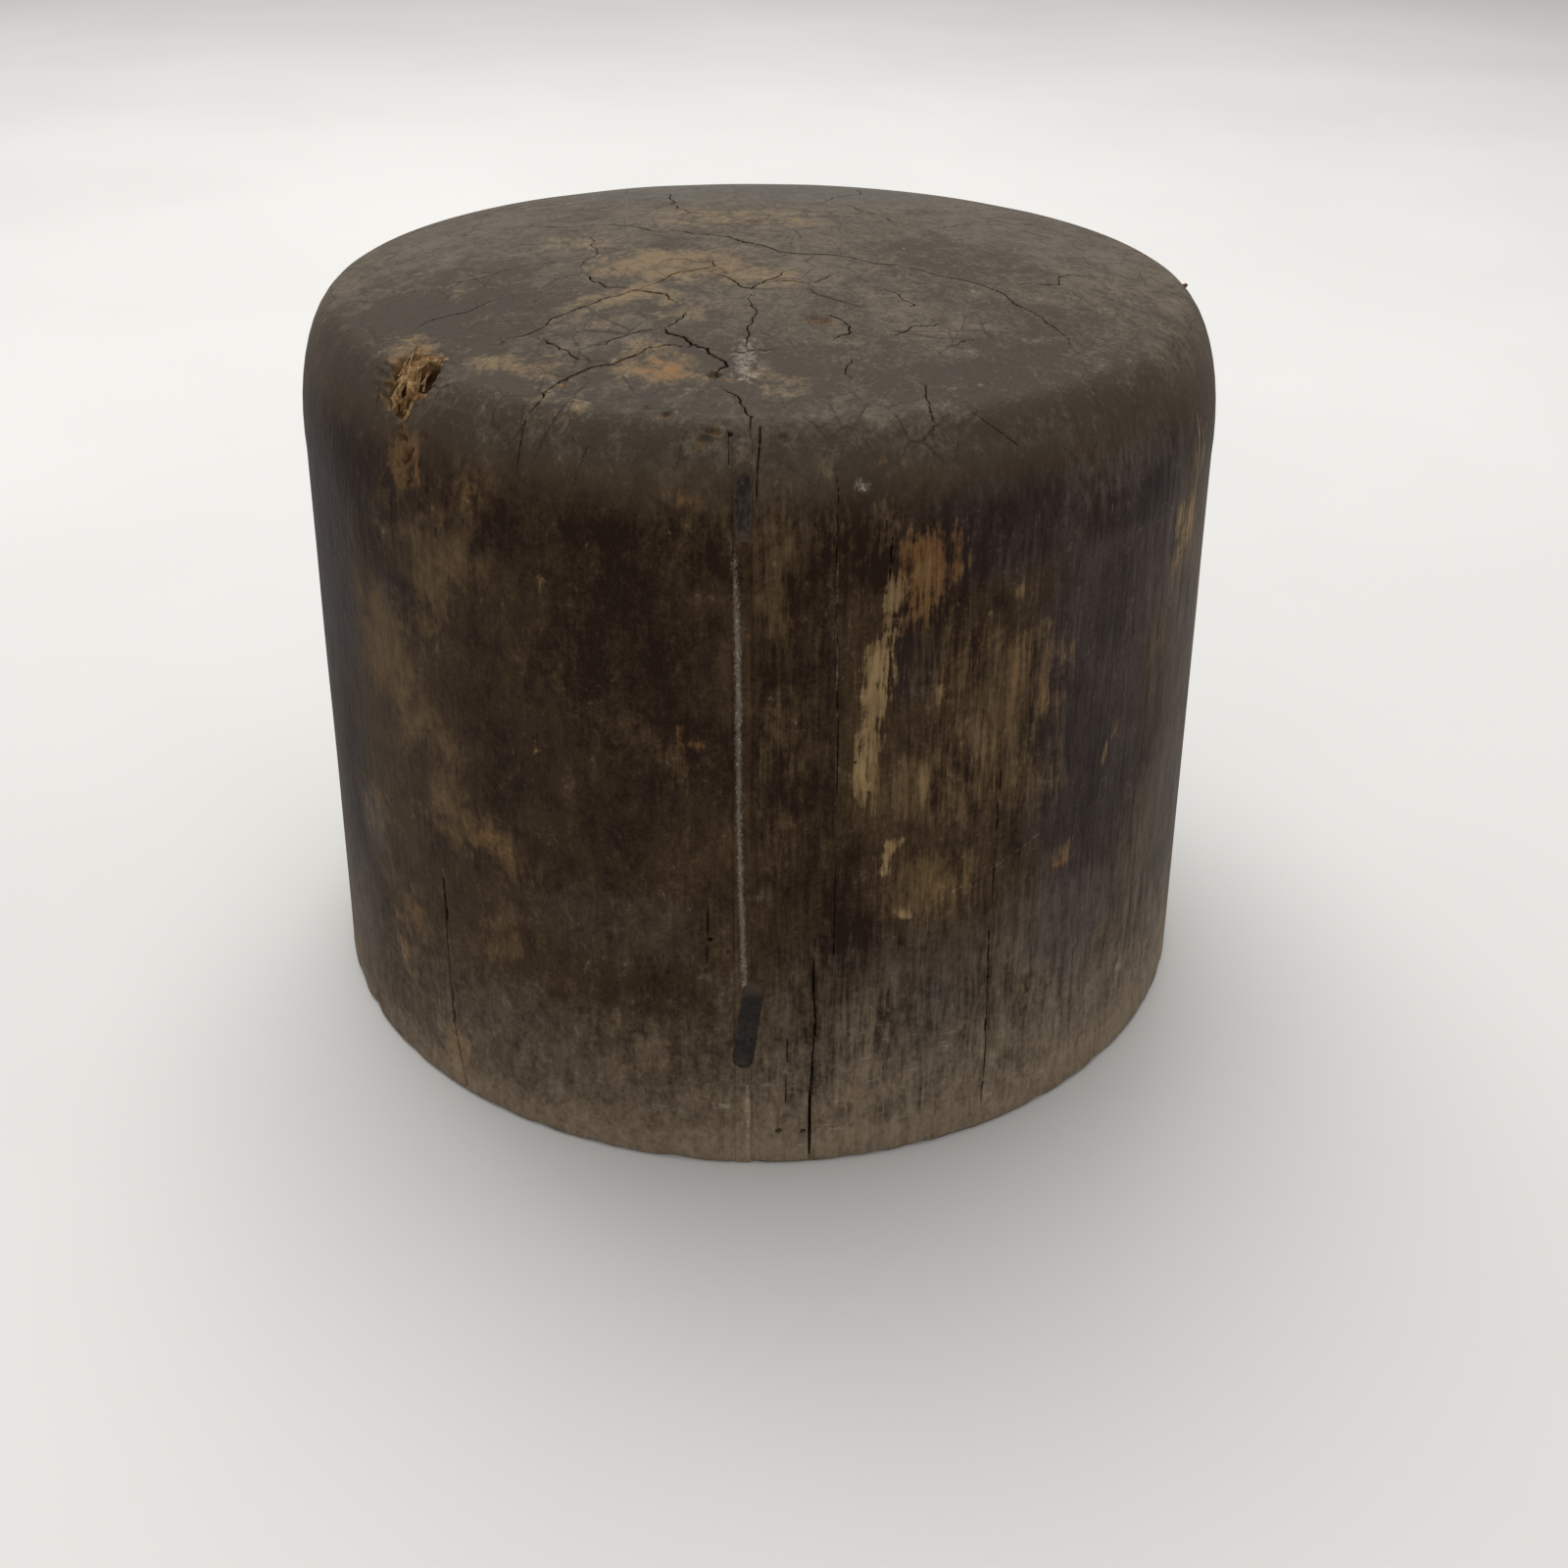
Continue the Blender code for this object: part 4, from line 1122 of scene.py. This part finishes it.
def makeFill(fill):
    # poured pitch: a round-ended plate, nearly flush, its rim feathered into the wood
    clearSelection()
    bpy.ops.mesh.primitive_circle_add(vertices=72, radius=1, fill_type="NGON")
    piece = bpy.context.object
    bpy.ops.object.mode_set(mode="EDIT")
    bpy.ops.mesh.select_all(action="SELECT")
    for ring in range(9):
        bpy.ops.mesh.inset(thickness=0.1)
    bpy.ops.mesh.poke()
    bpy.ops.object.mode_set(mode="OBJECT")
    points = pointsOf(piece)
    spread = np.hypot(points[:, 0], points[:, 1])
    straight = fill["halfLength"] - fill["halfWidth"]
    lengthwise = np.clip(points[:, 1] * 2 / np.maximum(spread, 1e-9), -1, 1) * spread
    across = points[:, 0] * fill["halfWidth"]
    up = points[:, 1] * fill["halfWidth"] + lengthwise * straight
    cos, sin = math.cos(fill["lean"]), math.sin(fill["lean"])
    x = fill["x"] + across * cos + up * sin
    z = fill["z"] + up * cos - across * sin
    face = np.stack((x, np.zeros(len(x)), z), axis=1)
    uneven = 0.05 * mm * noiseAt(face, 0.0026, 1.5, 2.0) + 0.03 * mm * noiseAt(face, 0.0009, 1.5, 4.0)
    sunk = 0.8 * lineRecess(z) + 0.02 * mm + 0.18 * mm * smoothStep(0.84, 1.0, spread) ** 2
    movePoints(piece, np.stack((x, surfaceFront(x, z) + sunk + uneven, z), axis=1))
    thin = smoothStep(0.1, 1.0, up / fill["halfLength"])
    feathered = 0.9 * smoothStep(0.55, 1.0, spread) * (0.5 + 0.5 * thin)
    addMask(piece, "rim", feathered + 0.15 * thin + fill["worn"])
    applyModifier(piece, "SOLIDIFY", thickness=0.9 * mm, offset=-1)
    facesOutward(piece)
    return piece


def makeSliver(spot, lean, length, thick):
    clearSelection()
    bpy.ops.mesh.primitive_cone_add(vertices=7, radius1=thick, radius2=0.05 * mm, depth=length)
    sliver = bpy.context.object
    flat = pointsOf(sliver) * np.array((1, 0.5, 1))
    movePoints(sliver, flat @ turnTo(lean) + np.array(spot))
    return sliver


def makeKnot():
    # a crumbling plug of dead wood, with torn splinters along its upper edge
    clearSelection()
    bpy.ops.mesh.primitive_ico_sphere_add(subdivisions=6, radius=1)
    piece = bpy.context.object
    points = pointsOf(piece)
    centre = Vector(knot["centre"])
    slope = math.hypot(centre.x, centre.y / ratio)
    lower, upper = profileHeight(slope + 0.2 * mm), profileHeight(slope - 0.2 * mm)
    tilt = math.atan2(float(upper - lower), 0.4 * mm)
    level = Vector((centre.x, centre.y / ratio, 0)).normalized()
    outward = level * math.sin(tilt) + Vector((0, 0, math.cos(tilt)))
    outward.normalize()
    grainWise = points[:, (0, 2, 1)]  # fibres run up the slope
    crumbs = 0.14 * noiseAt(points, 0.50, 1.0, 1.0) + 0.11 * noiseAt(grainWise, 0.16, 2.5, 3.0)
    crumbs = crumbs + 0.05 * noiseAt(grainWise, 0.07, 3.0, 8.0)
    size = np.array(knot["size"]) * knot["radius"]
    shaped = points * (1 + crumbs)[:, None] * size
    hollow = np.zeros(len(points))
    for x, y, radius, deep in knot["hollows"]:
        away = np.hypot(points[:, 0] - x, points[:, 1] - y) / radius
        rotted = 1 - smoothStep(0.7, 1.1, away * (1 + 1.2 * crumbs))
        rotted *= points[:, 2] > 0
        shaped[:, 2] -= rotted * deep * mm
        hollow = np.maximum(hollow, rotted)
    addMask(piece, "hollow", hollow)
    sunk = np.array(centre - outward * knot["sunk"])
    movePoints(piece, shaped @ turnTo(outward) + sunk)
    parts = [piece]
    sideways = Vector((-centre.y, centre.x, 0)).normalized()
    uphill = outward.cross(sideways)
    for number in range(knot["slivers"]):
        spot = centre + sideways * chance.uniform(-5.0, 4.6) * mm + uphill * chance.uniform(-4.6, 5.4) * mm
        spot -= outward * chance.uniform(0.7, 1.6) * mm
        lean = uphill * chance.uniform(0.5, 1.2) + outward * chance.uniform(-0.1, 0.35)
        lean = (lean + sideways * chance.uniform(-0.4, 0.4)).normalized()
        length = chance.uniform(2.2, 4.4) * mm
        parts.append(makeSliver(spot, lean, length, chance.uniform(0.2, 0.45) * mm))
    clearSelection()
    for part in parts:
        part.select_set(True)
    bpy.context.view_layer.objects.active = piece
    bpy.ops.object.join()
    facesOutward(piece)
    return piece


nail = {
    "standsOut": 0.0014,  # how far the CAD's nail does
    "middle": -0.0060,  # of its length, from the face of the wood
    "halfLength": 0.0066,
    "bend": 0.00035,
}


def makeNail():
    # a nail rusted through: a sound shank in the wood and a thin bent stub outside
    old = pointsOf(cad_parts["shoulder_nail"])
    middle = old.mean(axis=0)
    outward = np.linalg.svd(old - middle, full_matrices=False)[2][0]
    outward *= np.sign(outward @ middle)
    woodFace = ((old - middle) @ outward).max() - nail["standsOut"]
    clearSelection()
    bpy.ops.mesh.primitive_cylinder_add(vertices=24, radius=1, depth=2, end_fill_type="TRIFAN")
    piece = bpy.context.object
    bpy.ops.object.mode_set(mode="EDIT")
    bpy.ops.mesh.select_all(action="SELECT")
    bpy.ops.mesh.subdivide(number_cuts=9)
    bpy.ops.object.mode_set(mode="OBJECT")
    points = pointsOf(piece)
    along = nail["middle"] + points[:, 2] * nail["halfLength"]
    inWood = 1 - smoothStep(-0.6 * mm, 0.2 * mm, along)
    thick = (0.24 + 0.45 * inWood + 0.10 * noiseAt(points, 0.45, 1.0, 2.0)) * mm
    bend = nail["bend"] * smoothStep(0, 1.0 * mm, along)
    shaped = np.stack((points[:, 0] * thick, points[:, 1] * thick - bend, along + woodFace), axis=1)
    movePoints(piece, shaped @ turnTo(outward) + middle)
    facesOutward(piece)
    return piece


body = makeBlock()
finishPiece(body, "forming_block", agedWood("agedWood"), "block_body", 60)
print("block done")
finishPiece(makeStrip(), "line_strip", agedWood("stripWood", 0.06), "front_strip")
darkPitch = pitch()
finishPiece(makeFill(fills["upper"]), "shoulder_fill", darkPitch, "upper_pitch_fill")
finishPiece(makeFill(fills["lower"]), "foot_fill", darkPitch, "lower_pitch_fill")
finishPiece(makeKnot(), "rotten_knot", decayedWood(), "decayed_knot", 70)
flangeIron, screwIron = castIron(), rustyIron()
finishPiece(makeNail(), "rusty_nail", screwIron, "shoulder_nail")
print("inset pieces done")

for name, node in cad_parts.items():
    if name == "spindle_flange" or name.startswith("flange_screw"):
        giveMaterial(node, flangeIron if name == "spindle_flange" else screwIron)


def paleCloth():
    mix = Recipe("paleFloor")
    lump = mix.wave(0.25, 1.0, 1.0, 3, 0.5)
    tone = mix.blend(mix.step(lump, -1, 1), (0.63, 0.63, 0.62), (0.67, 0.67, 0.66))
    return mix.finish(tone, lump * 0.02 + 0.85)


clearSelection()
bpy.ops.mesh.primitive_plane_add(size=8, location=(0, 0, 0))
floor = bpy.context.object
floor.name = "floor"
floor.data.materials.append(paleCloth())

lights = {
    "overhead": {"place": (-0.15, 0.55, 1.5), "size": 1.3, "power": 26, "colour": (1.0, 0.985, 0.96)},
    "frontFill": {"place": (0.5, -1.5, 1.1), "size": 1.4, "power": 5, "colour": (1.0, 0.98, 0.95)},
}
for name, light in lights.items():
    lamp = bpy.data.lights.new(name, "AREA")
    lamp.size, lamp.energy, lamp.color = light["size"], light["power"], light["colour"]
    holder = bpy.data.objects.new(name, lamp)
    holder.location = light["place"]
    aim = Vector((0, 0, 0.07)) - Vector(light["place"])
    holder.rotation_euler = aim.to_track_quat("-Z", "Y").to_euler()
    bpy.context.scene.collection.objects.link(holder)

world = bpy.data.worlds.new("studio")
world.use_nodes = True
world.node_tree.nodes["Background"].inputs["Color"].default_value = (1.0, 0.985, 0.965, 1)
world.node_tree.nodes["Background"].inputs["Strength"].default_value = 0.45
bpy.context.scene.world = world

view = {
    "place": (0.00533, -0.29166, 0.22405),
    "lens": 36.0,
    "sensor": 36.0,
    "down": 33.93,  # all three angles in degrees
    "roll": 0.658,
    "turn": 1.0,
}
lensData = bpy.data.cameras.new("camera")
lensData.lens, lensData.sensor_width = view["lens"], view["sensor"]
lensData.clip_start = 0.01
camera = bpy.data.objects.new("camera", lensData)
around = Matrix.Rotation(math.radians(view["turn"]), 4, "Z")
tilt = Matrix.Rotation(math.radians(90 - view["down"]), 4, "X")
roll = Matrix.Rotation(math.radians(view["roll"]), 4, "Z")
camera.matrix_world = around @ Matrix.Translation(view["place"]) @ tilt @ roll
bpy.context.scene.collection.objects.link(camera)
bpy.context.scene.camera = camera
bpy.context.scene.view_settings.view_transform = "Standard"
print("stage done")
